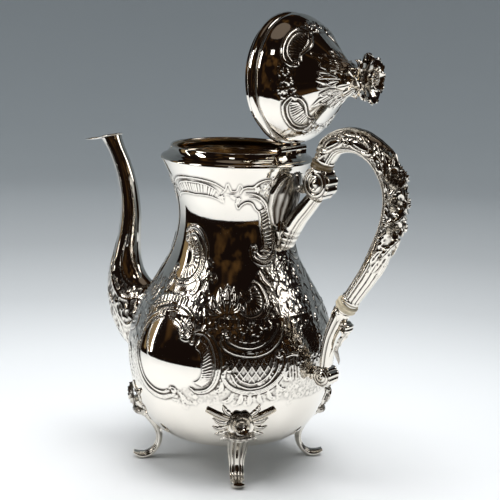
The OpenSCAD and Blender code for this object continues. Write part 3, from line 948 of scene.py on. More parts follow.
@dataclass
class Vessel:
    """The raised body, its chasing, and the mouth band.

    Args:
        wall: thickness of the silver.
        relief: how far the plain surface lies below the highest chasing.
        drawn: the highest stroke in the drawing, which is scaled to the relief.
        parts: name, lowest and highest height, pitch and steps of each ring that the body is built from.
    """

    wall: float = 1.0
    relief: float = 0.62
    drawn: float = 1.2
    parts: tuple[tuple[str, float, float, float, int], ...] = (("bowl", 17.5, 50.0, 0.9, 480), ("lower_belly",
        50.0, 76.0, 0.36, 960), ("upper_belly", 76.0, 101.0, 0.36, 960), ("shoulder", 101.0, 127.0, 0.36,
        960), ("throat", 127.0, 152.0, 0.36, 960), ("neck", 152.0, 185.5, 0.36, 800))

    def chase(self) -> Chasing:
        """Draw the whole ornament for one side of the pot.

        Returns:
            The settled map; the other side is its mirror image.
        """
        c = Chasing(belly_radius, 44, 187, pitch=0.25, turn=0.25)
        plain = c.within(((-111, 84), (-106, 97), (-97, 100), (-86, 99), (-77, 93), (-70, 86), (-66, 78),
            (-66, 69), (-71, 62), (-84, 58), (-96, 55), (-106, 61), (-111, 72)))
        lattice = c.within(((-51, 84), (-40, 82), (-29, 84), (-28, 74), (-33, 67), (-41, 64), (-49, 68),
            (-52, 75)))
        low = c.within(((-181, 53), (-140, 52), (-118, 55), (-104, 51), (-78, 50), (-60, 54), (-40, 55),
            (-20, 53), (1, 52), (1, 128), (-6, 132), (-12, 134), (-30, 131), (-35, 122), (-46, 114),
            (-54, 113), (-66, 110), (-71, 117), (-78, 122), (-96, 117), (-110, 119), (-122, 116), (-130, 112),
            (-138, 114), (-146, 124), (-160, 131), (-181, 128)))
        c.foliage(low & ~plain & ~lattice, 3.4, 11, 0.25, 3.9)
        c.height[plain | lattice] = 0
        upper = c.within(((-22, 131), (-20, 150), (-26, 163), (-30, 166), (-36, 176), (-20, 180), (1, 180),
            (1, 131)))
        c.foliage(upper, 3.4, 12, 0.23, 3.6)
        self._cartouche(c)
        self._shell(c)
        for flip in (False, True):
            self._panel(Pen(c, flip))
            self._scroll(Pen(c, flip))
        self._collar(c)
        c.height *= self.relief / self.drawn
        c.settle()
        return c

    def _cartouche(self, c: Chasing) -> None:
        """Frame the plain oval on the side.

        Args:
            c: the map to draw on.
        """
        top = ((-112, 87), (-109.5, 94), (-104, 98.5), (-97, 101.3), (-90, 102.2), (-83, 100.8), (-77.5, 97),
            (-75.2, 92.5), (-77, 89.2), (-80.5, 89.6))
        c.moulding(top, 2.3, 1.15, (0.35, 0.8), 4)
        c.volute(-80.4, 91.6, 1.7, 0.6, 0.9, -90, 1.0, -1)
        c.stroke(((-106, 92), (-101, 97), (-94, 98.8), (-87, 98), (-82.5, 95.4), (-81, 93)), 0.7, 0.75,
            (0.3, 0.6))
        c.moulding(((-114, 92), (-108, 101), (-98, 105.4), (-88, 106), (-79, 103), (-72.6, 97)), 1.0, 0.9,
            (0.3, 0.3), 2)
        c.flutes(((-112, 97), (-104, 102.5), (-94, 105), (-84, 104)), ((-117, 101), (-107, 108), (-94, 110),
            (-83, 109)), 13, 0.8, 0.7)
        left = ((-111.5, 86), (-111.8, 78), (-110.5, 70), (-107.5, 62.5), (-103, 57.8), (-97, 55.2),
            (-91, 55), (-87.5, 56.4))
        c.moulding(left, 1.0, 0.95, (0.4, 1), 1)
        c.moulding(((-114.5, 80), (-113.8, 70), (-110.5, 60.5), (-105, 54.6), (-98, 52), (-91, 51.8),
            (-85.5, 54), (-81.5, 54)), 1.5, 1.0, (0.3, 0.8))
        c.volute(-83.8, 57.4, 2.4, 0.8, 1.1, 160, 1.15, -1)
        c.leaf((-80, 57), (-78.5, 49.5), 0.2, 1.4, 0.8)
        c.leaf((-78, 55), (-72, 51), -0.2, 1.3, 0.7)
        c.stroke(((-104.8, 95), (-105.4, 87), (-104, 79), (-101.5, 74.5)), 0.45, 0.4, (0.3, 0.3))
        outer = ((-73, 92.6), (-67.5, 92.8), (-62.5, 89), (-59, 81.5), (-58.2, 73), (-60, 65.5), (-64, 60.6),
            (-69.5, 59.2), (-72.8, 61.6))
        c.moulding(outer, 1.5, 1.1, (0.5, 0.8), 2)
        c.volute(-70.6, 62.2, 1.8, 0.7, 1.0, 230, 1.0, -1)
        ribs = ((-69.5, 88), (-65.8, 86), (-62.8, 80), (-62, 72), (-63.6, 66), (-67, 63))
        c.stroke(ribs, 0.5, 0.8)
        inner = ((-71, 84.5), (-68, 82.2), (-66.4, 77), (-66.4, 70.5), (-68.4, 66.4), (-71, 64.6))
        c.stroke(((-70.5, 86), (-66.5, 83), (-64, 77), (-64, 70.5), (-66.4, 65.4), (-70, 63.6)), 3.4, -1.0)
        c.flutes(inner, ribs, 20, 0.62, 0.8)
        c.stroke(inner, 0.45, 0.55)
        c.volute(-73.6, 87.4, 1.6, 0.6, 0.9, 90, 1.0, 1)

    def _shell(self, c: Chasing) -> None:
        """Raise the large fluted scroll on the side of the shoulder.

        Args:
            c: the map to draw on.
        """
        c.stroke(((-100, 143), (-92, 141), (-86, 133), (-88, 123), (-98, 119)), 8.5, -1.0)
        c.moulding(((-106, 145), (-100, 148), (-92, 148.6), (-84, 145.2), (-78.3, 139), (-75.6, 132.4),
            (-70, 129.6)), 1.3, 1.0, (0.4, 0.3), 2)
        c.moulding(((-101, 144), (-93, 145.4), (-86, 142), (-81, 135.5), (-79.6, 127), (-83.5, 120.4),
            (-91, 117.2), (-100, 117.4), (-106, 121)), 1.5, 1.05, (0.5, 0.4))
        mid = ((-99, 141.6), (-93, 142), (-87.6, 138.6), (-84, 132), (-84.4, 125), (-89, 120.6), (-96, 119.6))
        c.stroke(mid, 0.55, 0.75)
        c.flutes(((-98.5, 136), (-94.6, 136.4), (-91.4, 134), (-90, 130), (-91, 126.4), (-95, 124.6)), mid,
            15, 0.75, 0.8)
        c.stroke(((-98.5, 135.4), (-94.8, 135.6), (-92, 133.4), (-90.8, 130), (-91.8, 127), (-95.4, 125.4)),
            0.6, 0.8)
        c.volute(-101.6, 141.4, 2.2, 0.8, 1.0, 60, 1.1, 1)
        c.volute(-105.4, 123.6, 2.4, 0.8, 1.0, 250, 1.1, -1)
        c.flutes(((-82, 121), (-77.6, 124.6), (-75, 129)), ((-77, 117), (-73, 121.4), (-70.4, 127)), 8, 0.7,
            0.7)
        c.flower(-72.6, 122.4, 2.8, 0.9)
        for base, tip, bend in (((-79, 119), (-84, 112), 0.3), ((-72, 119), (-68, 113), -0.3), ((-69, 123),
                (-66, 119), 0.2), ((-104, 119), (-110, 113), 0.3), ((-107, 122), (-113, 118), 0.2)):
            c.leaf(base, tip, bend, 1.5, 0.8)

    def _panel(self, pen: Pen) -> None:
        """Draw the latticed cartouche over a foot, with the shell and sprays above it.

        Args:
            pen: draws on one side.
        """
        c = pen.chasing
        inside = c.within(pen.at(((-51, 83.4), (-40, 82), (-29.5, 83.6), (-28, 75), (-32, 68), (-41, 65),
            (-49, 69), (-52, 76))))
        c.height[inside] = 0
        keep = c.height.copy()
        for n in range(-3, 9):
            pen.stroke(((-57 + 4.4 * n, 84), (-52.5 + 4.4 * n, 74), (-46 + 4.4 * n, 64)), 0.36, 0.5)
            pen.stroke(((-24 - 4.4 * n, 84), (-28.5 - 4.4 * n, 74), (-35 - 4.4 * n, 64)), 0.36, 0.5)
        c.height = np.where(inside, c.height, keep)
        c.ground = np.maximum(c.ground, inside * 0.8)
        smile = ((-56.6, 89.6), (-54, 86), (-49, 83.8), (-43, 82.8), (-37, 83.2), (-31, 85.4), (-26, 89.6),
            (-22, 95), (-19.6, 101.5), (-19.4, 108))
        pen.moulding(smile, 2.0, 1.2, (0.7, 0.3), 4)
        pen.stroke(((-53, 89.4), (-48, 87), (-41, 86), (-35, 87.4), (-30.4, 91)), 0.7, 0.9, (0.5, 0.3))
        pen.stroke(((-52, 92), (-47, 89.8), (-41, 89), (-36, 90.2), (-32.6, 93)), 0.5, 0.7, (0.5, 0.3))
        bowl = ((-54.4, 74), (-55.2, 69), (-52, 63.8), (-46.5, 60.9), (-40.5, 60), (-34, 61.2), (-28, 64.8),
            (-23.6, 70.6), (-21.6, 77.4), (-23.2, 82.6))
        pen.moulding(bowl, 1.6, 1.1, (0.7, 0.7), 3)
        pen.stroke(((-51, 71), (-48.6, 66), (-44, 63.2), (-40, 62.6), (-34.6, 63.8), (-30, 67.4), (-26.6, 73),
            (-25.8, 79)), 0.65, 0.85)
        pen.stroke(((-49.2, 71.4), (-46, 67.4), (-41, 65.4), (-36, 66.6), (-32, 70), (-29.4, 75),
            (-28.6, 80)), 0.5, 0.75)
        for d, z, size, start in ((-54.4, 92.4, 2.3, -110), (-52.6, 73.4, 1.7, 180), (-25.4, 81.6, 1.9, 10)):
            pen.volute(d, z, size, 0.75, 1.1, start, -1)
        for base, tip, bend in (((-50, 59.4), (-56, 54), 0.2), ((-45.6, 58.6), (-48, 52.4), 0.15),
                ((-41, 58.4), (-41, 52), 0), ((-36, 58.8), (-33.6, 53), -0.15), ((-31, 60.4), (-26, 55),
                -0.2), ((-26, 64), (-20, 60), -0.2), ((-56, 66), (-60, 60), 0.25), ((-22, 72), (-17, 66),
                -0.3)):
            pen.leaf(base, tip, bend, 1.5, 0.85)
        for n in range(3):
            pen.stroke(((-19 + 2 * n, 79), (-18.8 + 2 * n, 72), (-18.2 + 2 * n, 66)), 0.5, 0.7)
        pen.stroke(((-20.5, 80), (-17, 80.6), (-13.4, 80)), 0.8, 0.9)
        outer = ((-36.4, 120.4), (-31.6, 117.4), (-28.6, 111.6), (-29.6, 105.4), (-34, 101.6), (-40, 100.4),
            (-45.6, 101.6), (-48.6, 104.6))
        pen.moulding(outer, 1.7, 1.15, (0.5, 0.8), 3)
        inner = ((-35.6, 117.6), (-32.4, 112.4), (-33, 107.4), (-37, 104.2), (-42, 103.4))
        pen.stroke(inner, 0.5, 0.75)
        pen.stroke(((-36, 117), (-34, 110), (-37, 105), (-43, 104)), 4.6, -1.0)
        pen.moulding(outer, 1.7, 1.15, (0.5, 0.8), 3)
        pen.flutes(((-39.4, 116), (-38.4, 112.6), (-39, 110.4), (-40.6, 109.6), (-42.6, 109.4)), inner, 13,
            0.6, 0.7)
        pen.volute(-46.8, 106, 2.0, 0.7, 1.0, 0, 1)
        for d, z, s in ((-37.4, 95.6, 3.7), (-30, 98, 3.0), (-45, 96.4, 2.9), (-20, 123, 3.2), (-9.6, 121.6,
                3.8), (-12, 97, 2.8), (-10, 86, 2.6), (-63, 99, 2.7), (-24, 109, 2.6), (-10, 107, 3.0)):
            pen.flower(d, z, s, 0.95)
        for base, tip, bend in (((-58, 103), (-66, 113), 0.2), ((-57, 104), (-61.4, 117), 0.1), ((-55, 104),
                (-56, 118.6), 0), ((-53, 104), (-50.6, 117.6), -0.1), ((-52, 104), (-46.4, 112), -0.2),
                ((-60, 102), (-70, 106), 0.3), ((-62, 97), (-68, 92), -0.3), ((-24, 101), (-15, 99), 0.2),
                ((-24, 118), (-30, 126), 0.2), ((-18, 112), (-12, 116), 0.3), ((-15, 126), (-6, 130), 0.2),
                ((-14, 119), (-6, 116), -0.2)):
            pen.leaf(base, tip, bend, 1.6, 0.85)

    def _scroll(self, pen: Pen) -> None:
        """Draw the upright scroll beside the handle, or beside the spout.

        Args:
            pen: draws on one side.
        """
        left = ((-29, 160), (-26.6, 156), (-25, 150), (-23.2, 144), (-23, 139), (-26, 137.4))
        right = ((-22, 162), (-17.4, 158.6), (-14, 152), (-12, 145), (-12.6, 138.6), (-17, 136.4))
        pen.stroke(((-26, 161), (-21, 154), (-18.4, 146), (-18.4, 139)), 3.4, -1.0)
        pen.moulding(left, 0.9, 0.9, (0.6, 0.8), 1)
        pen.moulding(right, 1.3, 1.0, (0.6, 0.8), 2)
        pen.flutes(left, right, 15, 0.62, 0.6)
        pen.moulding(((-35.4, 138), (-34.6, 133.6), (-30, 130.8), (-23, 129.8), (-16.6, 131.6), (-11.6, 136),
            (-9, 142)), 1.5, 1.15, (0.8, 0.4), 3)
        pen.stroke(((-31.6, 136.6), (-28, 133.8), (-22.4, 133), (-17, 134.4)), 0.6, 0.85, (0.8, 0.4))
        pen.volute(-32.8, 138, 2.3, 0.75, 1.05, 180, -1)
        pen.stroke(((-43, 171), (-36, 170.6), (-28, 168), (-20.6, 162.6), (-15.4, 155), (-12.6, 149)), 0.8,
            0.9, (0.5, 0.4))
        pen.stroke(((-40, 168.4), (-34, 168), (-27, 165.4), (-20.6, 160.2)), 0.55, 0.75, (0.5, 0.4))
        pen.stroke(((-51.6, 165), (-49, 161.8), (-46, 164), (-41.6, 165.6), (-36.6, 164.8), (-32.4, 161.4),
            (-29.4, 160)), 0.75, 0.85, (0.5, 0.6))

    def _collar(self, c: Chasing) -> None:
        """Run the scroll band round the neck.

        Args:
            c: the map to draw on.
        """
        for flip in (False, True):
            pen = Pen(c, flip)
            for pts, w, h in ((((-92, 178.4), (-84, 178.2), (-75, 177.4), (-67, 175.6), (-60.5, 172.6)), 0.75,
                    0.85), (((-92, 175.8), (-84, 175.8), (-76.6, 175), (-70, 173), (-66.6, 170.6)), 0.6, 0.8),
                    (((-92, 168.2), (-84, 168.6), (-76, 168.4), (-69, 167.2), (-64, 165.2)), 0.6, 0.7),
                    (((-64, 170.4), (-60.6, 173), (-58.4, 176.4), (-56.6, 174), (-55, 172.2), (-51, 172.6),
                    (-48.6, 176), (-46, 174.4)), 0.55, 0.7), (((-47.6, 171), (-45.8, 173.6), (-42, 174.6),
                    (-37, 174.8), (-33, 177.2), (-28, 178.8), (-22, 179)), 0.9, 1.0),
                    (((-60, 170.2), (-55, 170), (-50.4, 170.2)), 0.45, 0.55)):
                pen.stroke(pts, w, h, (0.6, 0.5))
            pen.flutes(((-90, 170), (-80, 170.2), (-72, 169)), ((-90, 174.4), (-79, 174.2), (-69.6, 171.6)),
                9, 0.75, 0.65)
            for d, z, s in ((-64, 168.2, 1.7), (-33, 173.2, 2.2), (-25, 174.6, 2.4), (-49, 167.4, 1.6)):
                pen.flower(d, z, s, 0.7)
            for base, tip in (((-67, 168), (-62, 164.6)), ((-56, 169), (-52, 167)), ((-49, 168), (-51, 164))):
                b, t = pen.at((base, tip))
                c.leaf(b, t, 0.1, 1.0, 0.6)

    def build(self) -> None:
        """Make the rings of the body and the mouth band."""
        c = self.chase()
        curve = smooth(BELLY, 12)
        for name, low, high, pitch, around in self.parts:
            zs = curve[:, 1]
            part = curve[(zs > low + 0.05) & (zs < high - 0.05)]
            ends = [np.array([[belly_radius(np.array([z]))[0], z]]) for z in (low, high)]
            foot = low == FLOOR_Z
            if foot:
                ends[0] = np.array([BELLY[0]], float)
            outer = resample(np.vstack([ends[0], part, ends[1]]), pitch)
            inner = inset(outer, self.wall)[::max(1, int(4 / pitch))]
            inner[0, 1], inner[-1, 1] = (low + self.wall if foot else low), high
            loop = np.vstack([outer, inner[::-1]])
            if foot:
                loop = np.vstack([[[0, low]], loop, [[0, low + self.wall]]])
            mesh = to_mesh(turned(loop, around), name)
            co = places(mesh)
            r, deg = about_axis(co)
            face = (r > belly_radius(co[:, 2]) - 0.4) & (co[:, 2] > 19)
            lining = (r < belly_radius(co[:, 2]) - 0.5) & (co[:, 2] > 17.2 + self.wall)
            slope = belly_radius(co[:, 2] + 0.5) - belly_radius(co[:, 2] - 0.5)
            lean = np.minimum(np.hypot(1, slope), 1.4)
            sunk = self.relief * np.interp(co[:, 2], (40, 56, 176, 184), (0, 1, 1, 0))
            rise = np.where(face, c.height_at(deg, co[:, 2]) - sunk, 0)
            co[:, :2] *= (1 + rise * lean / np.maximum(r, 1))[:, None]
            put_places(mesh, co)
            # Painted shade: the chasing's hollows, plus a flat 0.2 everywhere off the outer face, the inside
            # included.
            put_recess(mesh, np.where(face, c.recess_at(deg, co[:, 2]), 0.2))
            Piece(f"vessel_{name}", "pot", Look.SILVER, ("body_shell",)).add(mesh, lining)
        band = smooth(((45, 185.6), (45.3, 186.4), (44.9, 187.3), (44, 188), (42.2, 189), (40.9, 190.3),
            (40.05, 191.8), (39.7, 193)), 5)
        rim = smooth(((39.7, 193), (39.5, 193.6), (38.9, 193.75), (38.35, 193.4), (38.3, 192.9)), 3)
        inside = np.array([(35.4, 192.9), (35.4, 192.1), (37.8, 191.5), (39.4, 189.8), (41.4, 188.2),
            (43.4, 186.8), (43.4, 185.5), (44.6, 185.5)])
        mesh = to_mesh(turned(np.vstack([band, rim[1:], inside]), 256), "mouth_ring")
        co = places(mesh)
        r = np.hypot(co[:, 0], co[:, 1])
        # Painted shade down the inside of the mouth.
        put_recess(mesh, np.where((r < 38.2) & (co[:, 2] < 193), 0.45, 0.0))
        Piece("mouth_ring", "pot", Look.SILVER, ("mouth_band",)).add(mesh, (r < 38.4) & (co[:, 2] < 193.2))


# --- Spout ---


@dataclass
class Spout:
    """The hollow swan-neck with leaf-chased root and its drawn lip.

    Args:
        wall: thickness of the tube.
        lip_rings: rings across the lip.
        lip_step: size of each ring of the lip as a share of the one outside it.
        sections: outer point, inner point and width of each section.
    """

    wall: float = 1.2
    lip_rings: int = 7
    lip_step: float = 0.86
    sections: Knots = ((-57, 47, -53, 98, 30), (-77, 52.5, -64, 99, 29), (-89, 61.5, -70.5, 101.5, 27),
        (-97, 73, -74.6, 105.5, 24.5), (-100.8, 88, -77, 110, 22), (-99.6, 103.5, -78.4, 116, 19.5),
        (-96, 117, -78.6, 122.5, 17), (-92.8, 130, -78.3, 131, 14.8), (-91.5, 141.5, -78.2, 141, 13.6),
        (-91.7, 150, -79.6, 151.5, 12.6), (-93.6, 159, -82.4, 162.8, 12), (-97.2, 169.2, -87.4, 174.4, 11.4),
        (-102.6, 179.2, -93.2, 184, 11.4), (-109, 187, -96.4, 190.2, 13.6))

    def _frame(self, row: np.ndarray, wall: float) -> Matrix:
        """Place a unit circle on one section.

        Args:
            row: the section.
            wall: how far the circle is inset.

        Returns:
            A matrix.
        """
        o, i = row[0:2], row[2:4]
        c, h = (o + i) / 2, (i - o) / 2
        length = np.linalg.norm(h)
        h = h * (length - wall) / length
        m = Matrix.Identity(4)
        m.col[0] = (h[0], 0, h[1], 0)
        m.col[1] = (0, row[4] / 2 - wall, 0, 0)
        m.col[2] = (-h[1] / length, 0, h[0] / length, 0)
        m.col[3] = (c[0], 0, c[1], 1)
        return m

    def chase(self, length: float) -> Chasing:
        """Draw leaves and scrolls on the root, and the long panel lines above.

        Args:
            length: length of the tube's middle line in millimetres.

        Returns:
            The settled map; turn 180 is the outer side and the map is mirrored at it.
        """
        def girth(z: np.ndarray) -> np.ndarray:
            """Return the tube's radius at each distance along it."""
            return np.interp(z, (0, 40, 70, length), (15, 13, 8, 6))

        c = Chasing(girth, 0, length, 0, 180, 0.4, 0.8)
        root = c.within(((-1, 18), (40, 24), (70, 42), (110, 58), (150, 74), (181, 84), (181, -1), (-1, -1)))
        c.foliage(root, 3.6, 21, 0.5, 4.2)
        for pts, w, h in ((((30, 12), (60, 22), (80, 34), (95, 46), (115, 58), (140, 68), (165, 78),
                (181, 86)), 1.0, 1.0), (((180, 10), (140, 16), (112, 26), (110, 38), (132, 46), (160, 42),
                (168, 33), (150, 28)), 1.0, 1.0), (((60, 8), (84, 12), (104, 20), (100, 30), (82, 33),
                (72, 27)), 0.9, 0.95), (((181, 54), (156, 50), (136, 56), (140, 64), (158, 66), (170, 60)),
                0.8, 0.9), (((30, 20), (50, 34), (62, 48), (66, 62), (60, 78)), 0.7, 0.7)):
            c.stroke(pts, w, h, (0.5, 0.5))
        c.flutes(((178, 18), (150, 22), (126, 28)), ((178, 26), (156, 28), (138, 34)), 8, 0.8, 0.7)
        for d, z in ((96, 34), (150, 36), (128, 20), (176, 46)):
            c.flower(d, z, 2.8, 0.9)
        for n in range(5):
            c.leaf((176 - 8 * n, 58 + n), (160 - 16 * n, 70 - 4 * n), 0.2, 1.3, 0.7)
        for d in (52, 92, 134):
            c.stroke(((d, 62 + d * 0.12), (d, 110), (d, length - 3)), 0.4, 0.22)
        for d, z in ((150, length - 34), (150, length - 62)):
            c.stroke(((d, z), (d, z + 3)), 0.9, 0.7, (0.3, 1))
            c.stroke(((d - 12, z + 3.4), (d + 12, z + 3.4)), 0.6, 0.5)
        c.height *= 0.7
        c.settle(0.16)
        return c

    def build(self) -> None:
        """Make the tube and the lip."""
        rows = smooth(self.sections, 16)
        mid = np.stack([(rows[:, 0] + rows[:, 2]) / 2, (rows[:, 1] + rows[:, 3]) / 2], 1)
        rows = resample(np.hstack([mid, rows]), 0.7)[:, 2:]
        mid = np.stack([(rows[:, 0] + rows[:, 2]) / 2, (rows[:, 1] + rows[:, 3]) / 2], 1)
        along = arc_length(mid)
        outer = [self._frame(r, 0) for r in rows]
        inner = [self._frame(r, self.wall) for r in rows[::-4]]
        mesh = to_mesh(sweep(outer + inner, 128, caps=False), "spout")
        co, nor = places(mesh), normals(mesh)
        step = np.round(values(mesh, "run") * (len(outer) + len(inner) - 1)).astype(int)
        face = step < len(outer)
        z = along[np.clip(step, 0, len(along) - 1)]
        turn = np.abs(values(mesh, "turn"))
        c = self.chase(float(along[-1]))
        fade = np.clip((along[-1] - z) / 4, 0, 1) * np.clip(z / 3, 0, 1)
        rise = np.where(face, c.height_at(turn, z) * fade, 0)
        co = co + nor * (rise - 0.3 * face * fade)[:, None]
        r = np.hypot(co[:, 0], co[:, 1])
        wall = belly_radius(co[:, 2]) - 0.5
        pull = np.where((r < wall) & (co[:, 2] < 120), wall / np.maximum(r, 1), 1)
        co[:, :2] *= pull[:, None]
        put_places(mesh, co)
        # Painted shade in the chasing's hollows and inside the tube.
        put_recess(mesh, np.where(face, c.recess_at(turn, z), 0.5))
        Piece("spout_tube", "pot", Look.SILVER, ("spout",)).add(mesh)
        self._lip(rows[-1])

    def _lip(self, last: np.ndarray) -> None:
        """Make the thin rim and its pouring tongue.

        Args:
            last: the spout's last section.
        """
        centre = (last[0:2] + last[2:4]) / 2
        tilt = math.atan2(last[3] - last[1], last[2] - last[0])
        bm = new_ring(120)
        ring = bm.edges[:]
        for _ in range(self.lip_rings):
            verts, ring = next_ring(bm, ring)
            bmesh.ops.scale(bm, vec=(self.lip_step, self.lip_step, 1), verts=verts)
        mesh = to_mesh(bm, "lip")
        co = places(mesh)
        level = np.hypot(co[:, 0], co[:, 1])
        a = np.radians(values(mesh, "turn"))
        lobe = np.clip(-np.cos(a), 0, 1) ** 9
        s = np.clip((1 - level) / (1 - self.lip_step ** self.lip_rings), 0, 1)
        reach = (7.3 + 14.9 * lobe) * (1 - s) + 5.4 * s
        co = np.stack([reach * np.cos(a), reach * np.sin(a) * np.where(np.cos(a) < 0, 1 - 0.12 * lobe, 1),
            0.55 + 0.5 * (1 - s) ** 3 - 0.9 * lobe * s * (1 - s)], 1)
        co[:, 2] += 0.9 * np.clip((-co[:, 0] - 7) / 14, 0, 1) ** 1.5
        put_places(mesh, co)
        mesh.transform(Matrix.Translation((centre[0], 0, centre[1])) @ Matrix.Rotation(-tilt, 4, "Y"))
        obj = Piece("pouring_lip", "pot", Look.SILVER, ("spout_lip",)).add(mesh)
        thick = obj.modifiers.new("gauge", "SOLIDIFY")
        thick.thickness, thick.offset = 0.9 * MM, 0
        edge = obj.modifiers.new("edge", "BEVEL")
        edge.width, edge.segments, edge.limit_method = 0.25 * MM, 2, "ANGLE"


# --- Small castings ---


def rosette(size: float, rise: float, rings: Sequence[Sequence[float]], around: int = 120,
        heart: float = 0.13) -> bpy.types.Mesh:
    """Model a domed flower, its back flat at zero and its face along +Z.

    Args:
        size: radius.
        rise: height of the heart.
        rings: from the outside in, each whorl's share of the radius, petals, share of the height and turn.
        around: steps round it.
        heart: share of the radius taken by the bud in the middle; none leaves a hollow painted with shade.

    Returns:
        A closed mesh.
    """
    edge = [(size * s, 0.5) for s in np.linspace(0, 1, 34)]
    mesh = to_mesh(turned(np.array(edge + [(size, 0.0), (0, 0)]), around), "rosette")
    co = places(mesh)
    r, a = np.hypot(co[:, 0], co[:, 1]), np.arctan2(co[:, 1], co[:, 0])
    # Painted shade between the petals, just outside each whorl, and in the middle when there is no heart.
    high, petal_shade = np.full(len(co), 0.5), np.full(len(co), 0.8)
    for share, petals, level, offset in rings:
        lobe = np.abs(np.cos(petals * (a - offset) / 2)) ** 0.45
        q = r / (size * share * (0.80 + 0.20 * lobe))
        petal = level * rise * (0.40 + 0.60 * q ** 2.5) * (0.66 + 0.34 * lobe)
        high = np.where(q < 1, petal, high)
        near = np.clip(petal_shade + np.exp(-(q - 1) * 11) * 0.9, 0, 1)
        petal_shade = np.where(q < 1, np.clip(1 - lobe * 1.5, 0, 1) + 0.35 * (1 - q), near)
    high = np.where(r < size * heart, rise * (1.0 - 1.5 * (r / size) ** 2), high)
    if not heart:
        petal_shade = petal_shade + np.clip(1.6 - r / (size * 0.17), 0, 1)
    top = co[:, 2] > 0.25
    outer = np.abs(np.cos(rings[0][1] * (a - rings[0][3]) / 2)) ** 0.45
    scale = np.where(r > size * 0.72, 1 - 0.19 * (1 - outer) * (r / size - 0.72) / 0.28, 1)
    co[:, 0] *= scale
    co[:, 1] *= scale
    co[:, 2] = np.where(top, np.maximum(0.4, high), co[:, 2])
    put_places(mesh, co)
    put_recess(mesh, np.clip(np.where(top, petal_shade, 0.2), 0, 1) * 0.85)
    return mesh


KNEE_ROSE = ((1.0, 5, 0.50, 0.0), (0.72, 3, 0.80, 0.5), (0.42, 3, 1.0, 1.5))
BLOSSOM = ((1.0, 5, 0.62, 0.0), (0.46, 5, 0.92, 0.6))
BEAD = ((1.0, 6, 0.7, 0.0), (0.5, 1, 1.0, 0.0))


def follow(path: Knots, steps: int, run: np.ndarray) -> tuple[np.ndarray, np.ndarray]:
    """Follow a smooth path.

    Args:
        path: its points as x, y and z.
        steps: samples between two points.
        run: how far along the path each vertex lies, from 0 to 1.

    Returns:
        The place and the direction of travel at each vertex.
    """
    line = smooth(path, steps)
    at = np.linspace(0, 1, len(line))
    mid = np.stack([np.interp(run, at, line[:, i]) for i in range(3)], 1)
    return mid, np.stack([np.interp(run, at, np.gradient(line[:, i])) for i in range(3)], 1)


def blade(path: Knots, width: float, crown: float, lobes: int, thick: float = 0.9, long: int = 60,
        facing: Knots | None = None, wrap: float = 60.0) -> bpy.types.Mesh:
    """Model an acanthus leaf along a path of x, y, z points.

    Args:
        path: the midrib.
        width: widest half width, measured round the surface.
        crown: how far the middle stands above the edges.
        lobes: notches down each side.
        thick: thickness of the leaf.
        long: steps along it.
        facing: the direction its face looks at each point of the path; upwards from the path if left out.
        wrap: radius of the bar that it lies round.

    Returns:
        A closed mesh.
    """
    mesh = to_mesh(sheet_grid(long, 18), "blade")
    run, side = values(mesh, "run"), values(mesh, "turn")
    mid, ahead = follow(path, 20, run)
    ahead /= np.linalg.norm(ahead, axis=1)[:, None]
    if facing is None:
        across = np.tile((0.0, 1.0, 0.0), (len(run), 1)) * np.sign(ahead[:, :1] + 1e-9)
        across -= ahead * (across * ahead).sum(1)[:, None]
    else:
        across = np.cross(follow(facing, 20, run)[0], ahead)
    across /= np.linalg.norm(across, axis=1)[:, None]
    up = np.cross(ahead, across)
    notch = 0.74 + 0.26 * np.abs(np.sin(np.pi * lobes * run)) ** 0.6
    shape = np.sin(np.pi * np.clip(run, 0.02, 1) ** 0.62) ** 0.75
    angle = side * width * shape * notch / wrap
    vein = np.abs(np.sin(np.pi * lobes * (run - 0.10 * np.abs(side)))) ** 0.7
    lift = crown * (1 - side ** 2) - 0.45 * np.exp(-(side / 0.10) ** 2) + 0.4 * (vein - 0.5) * np.abs(side)
    co = mid + across * (np.sin(angle) * wrap)[:, None] + up * (lift - (1 - np.cos(angle)) * wrap)[:, None]
    put_places(mesh, co)
    # Painted shade along the midrib and in the notches between the lobes.
    put_recess(mesh, np.clip(np.exp(-(side / 0.12) ** 2) * 0.8 + (1 - vein) * np.abs(side) * 0.8, 0, 1) * 0.7)
    return thickened(mesh, thick)


def thickened(mesh: bpy.types.Mesh, thick: float) -> bpy.types.Mesh:
    """Give a sheet its gauge and turn its faces outwards.

    Args:
        mesh: the sheet.
        thick: its gauge.

    Returns:
        The same mesh, closed.
    """
    bm = bmesh.new()
    bm.from_mesh(mesh)
    bmesh.ops.recalc_face_normals(bm, faces=bm.faces[:])
    bmesh.ops.solidify(bm, geom=bm.faces[:], thickness=thick)
    bmesh.ops.recalc_face_normals(bm, faces=bm.faces[:])
    bm.to_mesh(mesh)
    bm.free()
    return mesh


